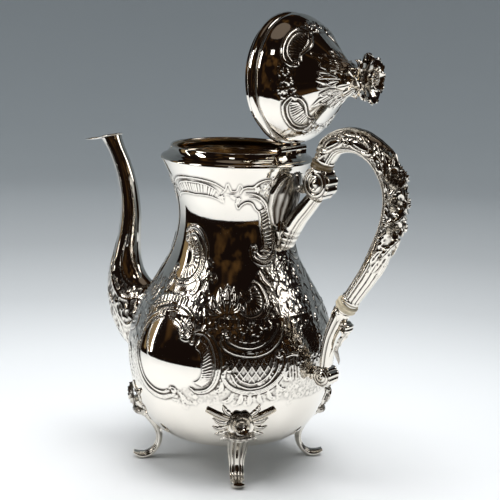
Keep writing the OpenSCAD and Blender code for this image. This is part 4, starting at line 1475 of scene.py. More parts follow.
@dataclass
class Volute:
    """A strap rolled up into a scroll, reeded across its back.

    Args:
        x: middle of the roll.
        z: middle of the roll.
        size: outer radius.
        width: width across the strap.
        start: direction in which the strap leaves, in degrees.
        hand: +1 or -1, which way it rolls.
        turns: how many turns it makes.
        reeds: reeds in each turn.
        thick: thickness of the strap.
    """

    x: float
    z: float
    size: float
    width: float
    start: float
    hand: int = 1
    turns: float = 1.6
    reeds: int = 14
    thick: float = 3.2

    def mesh(self) -> bpy.types.Mesh:
        """Model the roll.

        Returns:
            A closed mesh.
        """
        n = int(90 * self.turns)
        s = np.linspace(0, 1, n)
        a = np.radians(self.start) + self.hand * 2 * np.pi * self.turns * s
        r = (self.size - self.thick / 2) * (1 - 0.78 * s ** 0.9)
        row = np.stack([self.x + r * np.cos(a), self.z + r * np.sin(a), self.thick * (1 - 0.55 * s),
            self.width * (1 - 0.12 * s)], 1)
        mesh = to_mesh(sweep(sweep_frames(row), 28), "volute")
        co, nor = places(mesh), normals(mesh)
        run = values(mesh, "run")
        out = np.stack([co[:, 0] - self.x, np.zeros(len(co)), co[:, 2] - self.z], 1)
        out /= np.maximum(np.linalg.norm(out, axis=1), 1e-6)[:, None]
        facing = np.clip((nor * out).sum(1), 0, 1)
        reed = np.abs(np.sin(np.pi * self.reeds * self.turns * run))
        put_places(mesh, co + nor * (facing * (reed - 0.7) * 0.8)[:, None])
        # Painted shade between the reeds on the outer face and deeper into the curl.
        flat = np.clip(1 - reed * 2.2, 0, 1) * facing + np.clip(run * 1.3 - 0.75, 0, 0.5)
        put_recess(mesh, np.clip(flat, 0, 1) * 0.9)
        return mesh


@dataclass
class Roll:
    """A rolled scroll end: a reeded barrel across the strap with ringed faces.

    Args:
        x: middle of the roll.
        z: middle of the roll.
        size: outer radius.
        width: width across the strap.
        reeds: reeds round the barrel.
        tall: stretch upwards.
    """

    x: float
    z: float
    size: float
    width: float
    reeds: int = 9
    tall: float = 1.08

    def mesh(self) -> bpy.types.Mesh:
        """Model the roll.

        Returns:
            A closed mesh.
        """
        h, r = self.width / 2, self.size
        face = [(0, 0.9), (0.12, 0.85), (0.17, 0.3), (0.26, 0.2), (0.30, 0.8), (0.44, 0.75), (0.50, 0.05),
            (0.56, 0.0), (0.60, 0.55), (0.74, 0.5), (0.79, -0.1), (0.84, -0.1), (0.88, 0.3), (0.96, 0.05),
            (1.0, -0.7)]
        side = [(q * r, h + 1.1 * up) for q, up in face]
        belt = [(r * (1 + 0.02 * math.cos(t)), (h - 0.8) * math.cos(t)) for t in np.linspace(0.3, math.pi
            - 0.3, 9)]
        loop = side + belt + [(a, -b) for a, b in side[::-1]]
        mesh = to_mesh(turned(np.array(loop), 180), "roll")
        co = places(mesh)
        q, a = np.hypot(co[:, 0], co[:, 1]) / r, np.arctan2(co[:, 1], co[:, 0])
        reed = np.abs(np.sin(self.reeds * a / 2 + 0.5)) ** 0.6
        outer = np.clip((q - 0.86) / 0.1, 0, 1)
        co[:, :2] *= (1 - 0.17 * outer * (1 - reed))[:, None]
        put_places(mesh, co)
        # Painted shade in the rings on the faces and between the reeds of the barrel.
        rings = np.exp(-((q - 0.215) / 0.05) ** 2) + np.exp(-((q - 0.53) / 0.05) ** 2) + np.exp(-((q
            - 0.815) / 0.04) ** 2)
        put_recess(mesh, np.clip(rings * (1 - outer) * 0.75 + outer * np.clip(1 - reed * 1.6, 0, 1) * 0.8, 0,
            1))
        mesh.transform(Matrix.Translation((self.x, 0, self.z)) @ Matrix.Diagonal((1, 1, self.tall, 1))
            @ Matrix.Rotation(math.radians(90), 4, "X"))
        return mesh


# --- Handle ---


@dataclass
class Handle:
    """The loop, its leaf cap, garland, sockets and insulating rings.

    Args:
        loop: x, z, thickness and width of each section.
        upper_seat: x, z and lean of the upper insulator.
        lower_seat: x, z and lean of the lower insulator.
        reach: how far the back of the garland stands out before it is pressed in.
    """

    loop: Knots = ((62.8, 191, 12.6, 12.6), (69, 200, 13, 13), (78, 203.7, 13.4, 13.4), (89, 203, 13.4, 13.4),
        (100, 196.8, 13.4, 13.4), (108, 186, 13.4, 13.4), (111, 174, 13.4, 13.4), (109.2, 160, 13.4, 13.4),
        (104, 146, 13.2, 13.2), (97.5, 132.5, 12.8, 12.8), (91, 122.4, 11.8, 11.8), (84.2, 112.4, 11, 11))
    upper_seat: tuple[float, float, float] = (62, 188.9, 20)
    lower_seat: tuple[float, float, float] = (82.9, 110.6, 35.6)
    reach: float = 116.5

    def seat(self, which: tuple[float, float, float]) -> Matrix:
        """Return the frame on an insulator's middle, +Z along the handle's axis."""
        return Matrix.Translation((which[0], 0, which[1])) @ Matrix.Rotation(math.radians(which[2]), 4, "Y")

    def build(self) -> None:
        """Make every piece of the handle."""
        self._loop()
        self._leaf()
        self._garland()
        self._upper_socket()
        self._lower_socket()
        self._rings()

    def on_loop(self, run: float, turn: float, out: float) -> tuple[Vector, Vector]:
        """Return a point on the loop's surface and the direction it faces.

        Args:
            run: distance along the loop from its upper end.
            turn: degrees round it, 0 inside the loop and 180 outside.
            out: distance from the loop's middle line.

        Returns:
            The point and the outward direction.
        """
        rows = resample(smooth(self.loop, 14), 0.8)
        n = min(len(rows) - 2, max(1, int(run / 0.8)))
        d = rows[n + 1, :2] - rows[n - 1, :2]
        d /= np.linalg.norm(d)
        a = math.radians(turn)
        face = Vector((d[1] * math.cos(a), math.sin(a), -d[0] * math.cos(a)))
        return Vector((rows[n, 0], 0, rows[n, 1])) + face * out, face

    def chase(self, length: float) -> Chasing:
        """Draw the loop's panels, scrolls, leaves and flutes, rows along it and columns half round it.

        Args:
            length: length of the loop's middle line.

        Returns:
            The settled map; the other half is its mirror image.
        """
        def girth(z: np.ndarray) -> np.ndarray:
            """Return the loop's radius at each distance along it."""
            return np.full_like(np.asarray(z, float), BAR_RADIUS)

        c = Chasing(girth, 0, length, 0, 180, 0.3, 2.4)
        area = c.within(((62, 2), (181, 2), (181, 100), (150, 108), (118, 113), (100, 106), (70, 96),
            (60, 60)))
        c.foliage(area, 3.6, 41, 0.5, 4.0)
        for low, high in ((7.5, 22), (26.5, 41)):
            mid = (low + high) / 2
            ring = ((66, mid), (74, low + 2), (100, low), (124, low + 2.5), (130, mid), (120, high - 2),
                (98, high), (74, high - 2.5), (66, mid))
            inside = c.within(ring)
            c.height[inside] = 0.35
            c.ground[inside] = 0
            c.moulding(ring, 1.1, 0.85, (0.9, 0.9), 2)
        for d, z, hand in ((84, 24.4, 1), (114, 24.2, -1), (86, 44.4, 1), (100, 4.6, -1)):
            c.volute(d, z, 2.0, 0.75, 1.0, 90 * hand, 1.0, hand)
        c.moulding(((130, 6), (138, 18), (130, 24.5), (138, 34), (132, 44), (112, 52), (84, 58), (68, 64)),
            1.0, 0.8, (0.5, 0.4), 2)
        c.moulding(((50, 3), (50, 40), (50, 80), (50, length - 30)), 0.62, 0.6, (1, 0.8), 1)
        c.moulding(((37, 3), (37, 40), (37, 80), (37, length - 30)), 0.5, 0.5, (1, 0.8), 1)
        for base, tip in (((150, 100), (118, 113)), ((176, 100), (160, 116)), ((120, 98), (92, 108))):
            c.leaf(base, tip, 0.1, 2.0, 0.9)
        for d in (32, 62, 92, 122, 152, 180):
            c.stroke(((d, length - 27 - 0.04 * d), (d, length - 14), (d, length - 4)), 0.5, 0.65, (0.4, 1),
                sink=True)
        c.stroke(((0, length - 2.6), (90, length - 2.6), (180, length - 2.6)), 0.9, 0.6)
        c.stroke(((0, 1.6), (90, 1.6), (180, 1.6)), 0.9, 0.6)
        c.settle(0.2, 4.0)
        return c

    def _loop(self) -> None:
        """Make the chased and fluted tube."""
        rows = resample(smooth(self.loop, 14), 0.55)
        mesh = to_mesh(sweep(sweep_frames(rows), 112), "loop")
        co, nor = places(mesh), normals(mesh)
        run, turn = values(mesh, "run"), np.abs(values(mesh, "turn"))
        length = float(arc_length(rows)[-1])
        c = self.chase(length)
        put_places(mesh, co + nor * (c.height_at(turn, run * length) - 0.45)[:, None])
        put_recess(mesh, c.recess_at(turn, run * length))
        Piece("handle_loop", "pot", Look.CAST, ("handle",)).add(mesh)

    def _leaf(self) -> None:
        """Lay the acanthus cap along the outside of the loop, its tip curled up."""
        pts = [self.on_loop(r, 180, BAR_RADIUS + lift) for r, lift in ((3, 0.1), (11, 0.5), (21, 0.8),
            (31, 0.9), (39, 1.0), (44, 1.4), (47, 2.0), (49.5, 2.4))]
        parts = [blade([tuple(p) for p, _ in pts], 6.6, 0.9, 8, 1.0, 90, [tuple(f) for _, f in pts], 7.0)]
        for hand in (-1, 1):
            for run, turn in ((14, 150), (28, 148), (40, 146)):
                line = [self.on_loop(run + 3.4 * t, hand * (turn - 11 * t), BAR_RADIUS + 0.5) for t in (0, 1,
                    2, 3)]
                parts.append(blade([tuple(p) for p, _ in line], 2.3, 0.7, 3, 0.8, 24, [tuple(f) for _,
                    f in line], 7.0))
        Piece("acanthus_cap", "pot", Look.CAST, ("handle_leaf",)).add(merged(parts, "acanthus_cap"))

    def _garland(self) -> None:
        """Set two rows of blossoms and leaves down the back of the loop."""
        parts = []
        for x, z, lean in ((108.4, 185, 24), (111, 173, 2), (109.4, 161, -14)):
            for y in (-1, 1):
                m = rosette(6.3 if z > 165 else 5.4, 4.4, BLOSSOM)
                m.transform(Matrix.Translation((x, 0, z)) @ Matrix.Rotation(math.radians(-lean), 4, "Y")
                    @ Matrix.Rotation(math.radians(36 * y), 4, "Z") @ Matrix.Translation((5.6, 0, 0))
                    @ Matrix.Rotation(math.radians(90), 4, "Y") @ Matrix.Rotation(0.6 * y + 0.02 * z, 4, "Z"))
                parts.append(m)
        for run, turn, step, reach in ((50, 178, 26, 3), (62, 176, 30, 2.4), (65, 130, 18, 2), (77, 178, 30,
                2.4), (80, 128, 18, 2), (90, 178, 22, 3.6), (94, 150, 12, 4.4)):
            for hand in (-1, 1):
                line = [self.on_loop(run + reach * t, hand * (turn - step * t), 7.2) for t in (0, 1, 2)]
                parts.append(blade([tuple(p) for p, _ in line], 2.3, 0.8, 3, 0.8, 22, [tuple(f) for _,
                    f in line], 7.2))
        mesh = merged(parts, "blossom_garland")
        co = places(mesh)
        co[:, 0] = np.where(co[:, 0] > self.reach, self.reach + (co[:, 0] - self.reach) * 0.50, co[:, 0])
        put_places(mesh, co)
        Piece("blossom_garland", "pot", Look.CAST, ("handle_garland",)).add(mesh)

    def _ferrule(self, which: tuple[float, float, float], radius: float) -> bpy.types.Mesh:
        """Turn the moulded cup under an insulator.

        Args:
            which: the insulator's seat.
            radius: the cup's radius.

        Returns:
            A closed mesh.
        """
        h = SEAT_HALF
        loop = np.array([(0, -h), (radius, -h), (radius + 0.1, -h - 0.7), (radius - 0.5, -h - 1.3),
            (radius - 0.6, -h - 2.6), (radius - 0.1, -h - 3.4), (radius - 0.4, -h - 4.4), (radius - 1.0, -h
            - 8), (0, -h - 8)])
        mesh = to_mesh(turned(loop, 64), "ferrule")
        mesh.transform(self.seat(which))
        return mesh

    def _upper_socket(self) -> None:
        """Make the neck bracket: leaf plate, scroll, roll and ferrule."""
        strap = resample(smooth(((37.2, 136.6, 3, 7), (38.8, 139.6, 8, 11.5), (41.6, 147.5, 10.6, 13),
            (46.6, 156, 10.6, 12.4), (52.6, 163.4, 10, 11.4), (58, 170, 9.2, 10.6)), 12), 0.6)
        m = to_mesh(sweep(sweep_frames(strap), 56), "strap")
        co, nor = places(m), normals(m)
        side = np.abs(np.sin(np.radians(values(m, "turn"))))
        run = values(m, "run")
        groove = np.exp(-((side - 0.80) / 0.035) ** 2) + 0.8 * np.exp(-((side - 0.52) / 0.05) ** 2)
        lobes = np.clip((0.42 - run) / 0.1, 0, 1) * np.abs(np.sin(run * 30)) ** 3 * 0.5
        put_places(m, co - nor * (0.7 * groove + lobes)[:, None])
        # Painted shade in the strap's grooves and between its lobes.
        put_recess(m, np.clip(groove * 0.6 + lobes, 0, 1))
        parts = [m, Roll(61, 178.4, 9.1, 10.8).mesh(), self._ferrule(self.upper_seat, 6.4)]
        for hand in (-1, 1):
            bead = rosette(2.3, 1.9, BEAD, 48)
            bead.transform(Matrix.Translation((51.2, 4.7 * hand, 174.2)) @ Matrix.Rotation(math.radians(-90
                * hand), 4, "X"))
            parts.append(bead)
        parts.append(Volute(50.2, 173.2, 3.7, 8.8, 200, -1, 1.2, 6, 2.0).mesh())
        for y in (-1, 1):
            parts.append(self._neck_leaf(y))
            parts.append(blade(((37.6, 3.4 * y, 158), (38.2, 5.6 * y, 150), (37.4, 5.4 * y, 142.5)), 3.0, 0.9,
                4, 0.9, 36, ((0.6, 0.8 * y, 0), (0.6, 0.8 * y, 0), (0.7, 0.7 * y, 0))))
        Piece("neck_bracket", "pot", Look.CAST, ("upper_socket",)).add(merged(parts, "neck_bracket"))

    def _neck_leaf(self, hand: int) -> bpy.types.Mesh:
        """Lay half of the fluted plate on the neck.

        Args:
            hand: +1 or -1, the side of the bracket.

        Returns:
            A closed mesh.
        """
        mesh = to_mesh(sheet_grid(56, 26), "neck_leaf")
        run, side = values(mesh, "run"), (values(mesh, "turn") + 1) / 2
        z = 145.5 + 36 * run
        reach = np.interp(run, (0, 0.2, 0.45, 0.7, 0.9, 1), (3, 15, 20.5, 21, 16, 9))
        deg = hand * side * reach
        rib = np.abs(np.sin(np.pi * (side * 5 + (run - 0.2) * 2.6 * (1 - side)))) ** 0.7
        lift = 0.35 + 1.3 * np.sin(np.pi * np.clip(side, 0.05, 0.95)) * 0.5 + 0.55 * rib * side
        lift = lift + 6.5 * np.sin(np.pi * np.clip(run, 0, 1)) * np.cos(np.pi / 2 * side) ** 1.5
        edge = np.exp(-((side - 0.93) / 0.07) ** 2)
        r = belly_radius(z) + np.where((side > 0.985) | (run < 0.01) | (run > 0.99), -0.2, lift + 0.7 * edge)
        a = np.radians(deg)
        put_places(mesh, np.stack([r * np.cos(a), r * np.sin(a), z], 1))
        # Painted shade between the ribs and over the lower half of the plate, in the bracket's shadow;
        # lighter on the raised edge.
        low = np.interp(run, (0, 0.15, 0.5, 0.75, 1), (0.2, 0.62, 0.6, 0.28, 0.1))
        put_recess(mesh, np.clip((1 - rib) * 0.8 + low, 0, 1) * (1 - 0.8 * edge))
        return thickened(mesh, 0.5)

    def _lower_socket(self) -> None:
        """Make the lower bracket: ferrule, thumb scroll, strap and roll."""
        strap = resample(smooth(((80.5, 107, 10.2, 10.2), (76.6, 99.5, 9.2, 10), (72.8, 90, 7.6, 9.6),
            (70.8, 80, 7, 9.4), (70.2, 70, 6.2, 9.2)), 12), 0.8)
        m = to_mesh(sweep(sweep_frames(strap), 40), "strap")
        co, nor = places(m), normals(m)
        side = np.abs(np.sin(np.radians(values(m, "turn"))))
        groove = np.exp(-((side - 0.90) / 0.06) ** 2)
        put_places(m, co - nor * (0.8 * groove)[:, None])
        # Painted shade in the strap's grooves.
        put_recess(m, groove * 0.75)
        parts = [m, self._ferrule(self.lower_seat, 5.6), Roll(70.6, 66.6, 6.2, 9.8, 8, 1.0).mesh(), Volute(83,
            97.2, 4.2, 8.4, 120, -1, 1.3, 6, 2.4).mesh(), blade(((84.6, 0, 96), (80.4, 0, 90.5), (76.2, 0,
            82)), 4.4, 1.0, 3, 1.0, 30)]
        pad = to_mesh(turned(np.array([(0, 0), (4.2, 0), (4.4, 1), (3.6, 3.4), (0, 3.4)]), 48), "pad")
        pad.transform(Matrix.Translation((62.9, 0, 66.4)) @ Matrix.Rotation(math.radians(90), 4, "Y"))
        parts.append(pad)
        Piece("belly_bracket", "pot", Look.CAST, ("lower_socket",)).add(merged(parts, "belly_bracket"))

    def _rings(self) -> None:
        """Turn the two insulating rings."""
        for name, which, r in (("upper", self.upper_seat, 6.6), ("lower", self.lower_seat, 6.6)):
            h = SEAT_HALF
            edge = smooth(((r - 1.1, h), (r - 0.2, h - 0.35), (r, h - 0.9), (r - 0.5, 0), (r, -h + 0.9),
                (r - 0.2, -h + 0.35), (r - 1.1, -h)), 4)
            loop = np.vstack([[[0, h]], edge, [[0, -h]]])
            mesh = to_mesh(turned(loop, 96), f"{name}_ring")
            mesh.transform(self.seat(which))
            # The upper ring gets the darker bone copy, its painted shade.
            look = Look.SHADED_BONE if name == "upper" else Look.BONE
            Piece(f"{name}_bone_ring", "pot", look, (f"{name}_insulator",)).add(mesh)


# --- Feet ---


@dataclass
class Feet:
    """Four panelled legs with leaf wings and a rosette on each knee.

    Args:
        leg: x, z, thickness and width of each section of a leg along +X.
        corners: name and direction of each foot.
    """

    leg: Knots = ((57, 38, 7, 15), (51, 29, 6, 13.5), (45.6, 21.5, 5, 12.4), (43.3, 15.5, 4.4, 10.6),
        (43.6, 9.6, 4, 9), (46.2, 5, 3.8, 8.4), (50.4, 1.9, 4.4, 8.6), (54.8, 1.7, 4.2, 8.6), (58.8, 3.6, 1.8,
        6.4))
    corners: tuple[tuple[str, float], ...] = (("front_left", -135), ("front_right", -45), ("back_left", 135),
        ("back_right", 45))

    def build(self) -> None:
        """Make the four feet."""
        for name, deg in self.corners:
            turn = Matrix.Rotation(math.radians(deg), 4, "Z")
            foot = merged([self._leg(), *self._leaves()], f"foot_{name}")
            foot.transform(turn)
            Piece(f"cast_foot_{name}", "pot", Look.CAST, (f"foot_{name}",)).add(foot)
            rose = rosette(7.6, 4.2, KNEE_ROSE, 144, 0.0)
            rose.transform(turn @ Matrix.Translation((58.9, 0, 40.4)) @ Matrix.Rotation(math.radians(100), 4,
                "Y"))
            Piece(f"knee_rose_{name}", "pot", Look.CAST, (f"rose_{name}",)).add(rose)

    def _leg(self) -> bpy.types.Mesh:
        """Cut three long panels into the front of one leg along +X.

        Returns:
            A closed mesh.
        """
        rows = resample(smooth(self.leg, 10), 0.6)
        mesh = to_mesh(sweep(sweep_frames(rows), 64), "leg")
        co, nor = places(mesh), normals(mesh)
        run = values(mesh, "run")
        half = np.interp(run, np.linspace(0, 1, len(rows)), rows[:, 3]) / 2
        s = co[:, 1] / half
        front = np.clip(nor[:, 0] * 1.5 + nor[:, 2] * 0.6, 0, 1)
        cut = (np.exp(-((np.abs(s) - 0.36) / 0.09) ** 2) + 0.8
            * np.exp(-((np.abs(s) - 0.78) / 0.07) ** 2)) * front
        cut *= np.clip((0.86 - run) / 0.05, 0, 1)
        bar = np.exp(-((run - 0.19) / 0.018) ** 2) * front
        put_places(mesh, co - nor * (0.5 * cut - 1.1 * bar)[:, None])
        co = places(mesh)
        co[:, 2] = np.maximum(co[:, 2], 0.0)
        r = np.hypot(co[:, 0], co[:, 1])
        inside = (r < belly_radius(co[:, 2]) - 0.4) & (co[:, 2] > 19)
        pull = np.where(inside, (belly_radius(co[:, 2]) - 0.4) / np.maximum(r, 1), 1)
        co[:, :2] *= pull[:, None]
        put_places(mesh, co)
        # Painted shade in the cut panels and beside the cross bar.
        put_recess(mesh, np.clip(cut * 0.9 + 0.6 * np.exp(-((run - 0.16) / 0.012) ** 2) * front, 0, 1))
        return mesh

    def _leaves(self) -> list[bpy.types.Mesh]:
        """Model the wings, frills and bow that lie on the bowl round the knee.

        Returns:
            One mesh for each.
        """
        out = []
        for hand in (-1, 1):
            for line, wide, tall, pod in ((((4, 41.8), (9, 43.6), (14.5, 46), (19.8, 48.8)), 1.9, 1.6, True),
                    (((4, 44), (8.5, 48), (10, 52)), 2.0, 1.0, False), (((7, 40), (12, 40.4), (16, 43)), 2.2,
                    1.1, False), (((8, 37), (13, 36), (16.4, 37.6)), 2.1, 1.1, False), (((7.4, 34), (12, 32),
                    (15.4, 32.2)), 2.0, 1.1, False), (((6, 31), (9.6, 28.4), (12.6, 27.6)), 1.9, 1.0, False),
                    (((9, 41.6), (13, 42.4), (15.6, 45)), 1.5, 0.9, False)):
                pts = []
                for d, z in line:
                    a = math.radians(hand * d)
                    r = float(belly_radius(np.array([z]))[0]) + 0.5
                    pts.append((r * math.cos(a), r * math.sin(a), z))
                out.append(self._on_bowl(pts, wide, tall, pod))
        bow = smooth(((54.6, 31.2, 3.4, -8.6), (56.4, 31.4, 4.6, -6), (57.4, 31.2, 4.0, -3), (57.6, 31.0, 4.4,
            0), (57.4, 31.2, 4.0, 3), (56.4, 31.4, 4.6, 6), (54.6, 31.2, 3.4, 8.6)), 8)
        frames = []
        for x, z, size, y in bow:
            m = Matrix.Translation((x, y, z)) @ Matrix.Rotation(math.radians(-90), 4,
                "X") @ Matrix.Diagonal((size / 2, size / 2.4, 1, 1))
            frames.append(m)
        bar = to_mesh(sweep(frames, 28), "bow")
        # Painted shade over the whole bow, deepest in five bands along it.
        put_recess(bar, 0.35 + 0.35 * np.abs(np.sin(values(bar, "run") * np.pi * 5)) ** 2)
        return out + [bar]

    @staticmethod
    def _on_bowl(path: Knots, width: float, tall: float, pod: bool) -> bpy.types.Mesh:
        """Return a small leaf, or a hollow pod with a rolled edge, that hugs the bowl along a path.

        Args:
            path: the middle line.
            width: half width.
            tall: height above the bowl.
            pod: scoop out the middle and round the end.

        Returns:
            A closed mesh.
        """
        mesh = to_mesh(sheet_grid(44, 20), "bowl_leaf")
        run, side = values(mesh, "run"), values(mesh, "turn")
        mid, ahead = follow(path, 14, run)
        out = mid * (1, 1, 0)
        out /= np.linalg.norm(out, axis=1)[:, None]
        across = np.cross(ahead, out)
        across /= np.linalg.norm(across, axis=1)[:, None]
        if pod:
            shape = np.clip(1 - np.abs(2 * np.clip(run, 0.35, 1) - 1) ** 3, 0, 1) ** 0.5
            near = np.maximum(np.abs(side), np.clip((run - 0.86) / 0.14, 0, 1))
            lift = tall * (0.25 + 0.75 * np.exp(-((near - 0.70) / 0.20) ** 2)) * np.clip((1 - near) / 0.12, 0,
                1) ** 0.5
            # Painted shade in the pod's hollow.
            dark = np.exp(-(near / 0.34) ** 4) * 0.6 * np.clip((run - 0.12) * 6, 0, 1)
        else:
            lobe = 0.8 + 0.2 * np.abs(np.sin(run * np.pi * 3.5))
            shape = np.sin(np.pi * np.clip(0.12 + 0.88 * run, 0, 1) ** 0.8) ** 0.8 * lobe
            lift = (tall * (1 - side ** 2) - 0.45 * np.exp(-(side / 0.16) ** 2)) * np.sin(np.pi * np.clip(run,
                0.03, 0.97)) ** 0.5
            # Painted shade along the midrib and at the edges where the leaf meets the bowl.
            dark = np.exp(-(side / 0.2) ** 2) * 0.7 + 0.4 * (np.abs(side) > 0.85)
        co = mid + across * (side * width * shape)[:, None]
        r = np.hypot(co[:, 0], co[:, 1])
        want = belly_radius(co[:, 2]) + np.maximum(0.05, lift)
        co[:, :2] *= (want / r)[:, None]
        put_places(mesh, co)
        put_recess(mesh, np.clip(dark, 0, 1) * 0.8)
        return thickened(mesh, 0.5)


# --- Lid ---


@dataclass
class Lid:
    """The chased dome, its moulded rim and the flower finial.

    Args:
        wall: thickness of the dome.
    """

    wall: float = 1.0

    def chase(self) -> Chasing:
        """Draw the lid's band of shells and blossoms and the leaves below the finial.

        Returns:
            The settled map for one side; the other is its mirror image.
        """
        line = smooth(DOME, 12)
        run = arc_length(line)

        def girth(s: np.ndarray) -> np.ndarray:
            """Return the dome's radius at each distance up its outline."""
            return np.interp(s, run, line[:, 0])

        def on(points: Knots, mid: float = 0.0) -> Knots:
            """Return directions and heights as directions and distances, turned by mid."""
            return tuple((mid + d, float(dome_run(z))) for d, z in points)

        c = Chasing(girth, 0, float(run[-1]), -180, 0, 0.2, 0.4)
        for mid in (-135, -45):
            c.stroke(on(((-27, 18.6), (-22, 15.4), (-12, 14), (0, 13.6), (12, 14), (22, 15.6), (27, 18.8),
                (24, 21.4)), mid), 0.8, 0.95)
            c.stroke(on(((-24, 19), (-18, 16.6), (-8, 15.4), (6, 15.2), (16, 16.4), (22, 18.6)), mid), 0.5,
                0.8)
            c.stroke(on(((-26, 19), (-20, 22), (-10, 23), (0, 22.4), (10, 21.4), (18, 22)), mid), 0.7, 0.85)
            c.flutes(on(((-20, 18), (-8, 16.6), (6, 16.4), (18, 18)), mid), on(((-17, 20.6), (-8, 21.4),
                (4, 21), (15, 20.4)), mid), 13, 0.62, 0.7)
            c.volute(mid + 23, float(dome_run(20.4)), 1.7, 0.6, 0.9, 0, 1.1, 1)
            c.volute(mid - 23.5, float(dome_run(20)), 1.7, 0.6, 0.9, 180, 1.1, -1)
        for mid in (-180, -90, 0):
            area = c.within(on(((mid - 18, 14.4), (mid + 18, 14.4), (mid + 17, 20.4), (mid - 17, 20.4))))
            c.foliage(area, 2.5, 31 + mid % 7, 0.5, 3.0)
            for d, z in ((-10, 17), (0, 18.4), (9, 16.6)):
                c.flower(mid + d, float(dome_run(z)), 2.2, 0.95)
        for mid in range(-180, 1, 45):
            tall = 29 if mid % 90 == 0 else 24.5
            c.leaf(*on(((mid, 39.9), (mid, tall))), 0, 2.5, 1.0)
            for s in (-1, 1):
                c.leaf(*on(((mid + 6 * s, 39), (mid + 12 * s, tall + 4.4))), 0.05 * s, 1.5, 0.8)
                c.stroke(on(((mid + 3 * s, 39.8), (mid + 17 * s, 35), (mid + 16 * s, 30), (mid + 8 * s,
                    30.6))), 0.6, 0.8, (1, 0.6))
        area = c.within(on(((-181, 33.5), (1, 33.5), (1, 39.9), (-181, 39.9))))
        c.ground = np.maximum(c.ground, area * 0.9)
        for d in range(-178, 0, 30):
            c.flower(d + 4, float(dome_run(33.6)), 1.5, 0.6)
        c.height *= 0.75
        c.settle(0.15)
        return c

    def build(self) -> None:
        """Make the dome, the rim, the leaves and the flower."""
        c = self.chase()
        outer = resample(smooth(DOME, 12), 0.36)
        inner = inset(outer, self.wall)[::8]
        inner = inner[inner[:, 1] < 38.6]
        inner[0, 1] = 2.6
        loop = np.vstack([outer, [[0, 40]], [[0, 39]], [[7.6, 39]], inner[::-1]])
        mesh = to_mesh(turned(loop, 480), "dome")
        co, nor = places(mesh), normals(mesh)
        r, deg = about_axis(co)
        face = (r > dome_radius(co[:, 2]) - 0.4) & (co[:, 2] < 39.8)
        lining = (r < dome_radius(co[:, 2]) - 0.5) & (co[:, 2] < 39.6)
        up = dome_run(co[:, 2])
        put_places(mesh, co + nor * np.where(face, c.height_at(deg, up), 0)[:, None])
        # Painted shade in the chasing's hollows and over the underside of the dome.
        put_recess(mesh, np.where(face, c.recess_at(deg, up), 0.3))
        Piece("lid_chased_dome", "lid", Look.SILVER, ("lid_dome",), on_lid).add(mesh, lining)
        ring = smooth(((36.9, -2.7), (37.5, -2.2), (37.6, -0.8), (37.35, 0.5), (36.6, 1.35), (35.9, 1.8),
            (35.75, 2.3), (35.9, 2.6)), 4)
        loop = np.vstack([[[34.1, -2.7]], ring, [[34.1, 2.6]]])
        mesh = to_mesh(turned(loop, 256), "rim")
        co = places(mesh)
        # Painted shade in the groove of the rim's moulding.
        put_recess(mesh, 0.7 * np.exp(-((co[:, 2] - 2.1) / 0.45) ** 2))
        Piece("lid_moulded_rim", "lid", Look.SILVER, ("lid_rim",), on_lid).add(mesh)
        self._calyx()
        self._flower()

    def _calyx(self) -> None:
        """Clasp the stem with long leaves over a turned knop."""
        knop = smooth(((8.3, 40), (7.2, 41.4), (5, 43), (4.3, 44.6), (4.8, 46), (5.6, 46.6)), 4)
        parts = [to_mesh(turned(np.vstack([[[0, 40]], knop, [[0, 46.6]]]), 96), "knop")]
        for n in range(8):
            leaf = blade(((9.4, 0, 37.4), (7.8, 0, 40.6), (5.6, 0, 43.6), (5.4, 0, 46.8), (7.6, 0, 49.6)),
                2.9, 0.7, 3, 0.7, 30)
            leaf.transform(Matrix.Rotation(math.radians(45 * n + 22.5), 4, "Z"))
            parts.append(leaf)
        Piece("finial_leaves", "lid", Look.CAST, ("finial_calyx",), on_lid).add(merged(parts,
            "finial_leaves"))

    def _petal(self, length: float, width: float, curl: float) -> bpy.types.Mesh:
        """Return one cupped petal that grows along +X from the origin.

        Args:
            length: length from root to tip.
            width: widest half width.
            curl: how far the tip rolls back.

        Returns:
            A closed mesh.
        """
        mesh = to_mesh(sheet_grid(26, 20), "petal")
        run, side = values(mesh, "run"), values(mesh, "turn")
        shape = 0.12 + 0.88 * np.sin(np.pi * np.clip(run, 0, 1) ** 1.15 * 0.97) ** 0.55
        x = length * run * (1 - 0.06 * side ** 2 * run - 0.05 * np.exp(-(side / 0.2) ** 2) * run ** 6)
        y = side * width * shape
        up = 0.36 * width * side ** 2 * (1 - 0.45 * run) - curl * np.clip(run - 0.35, 0, 1) ** 2 / 0.42
        up = up + 0.05 * np.cos(side * 9.4) * run - 0.25 * np.exp(-(side / 0.12) ** 2) * (1 - run)
        put_places(mesh, np.stack([x, y, up], 1))
        # Painted shade at the root of each petal and along its middle.
        put_recess(mesh, np.clip(0.7 * (1 - run * 1.7), 0, 1) + 0.25 * np.exp(-(side / 0.10) ** 2)
            * (1 - run))
        return thickened(mesh, 0.8)

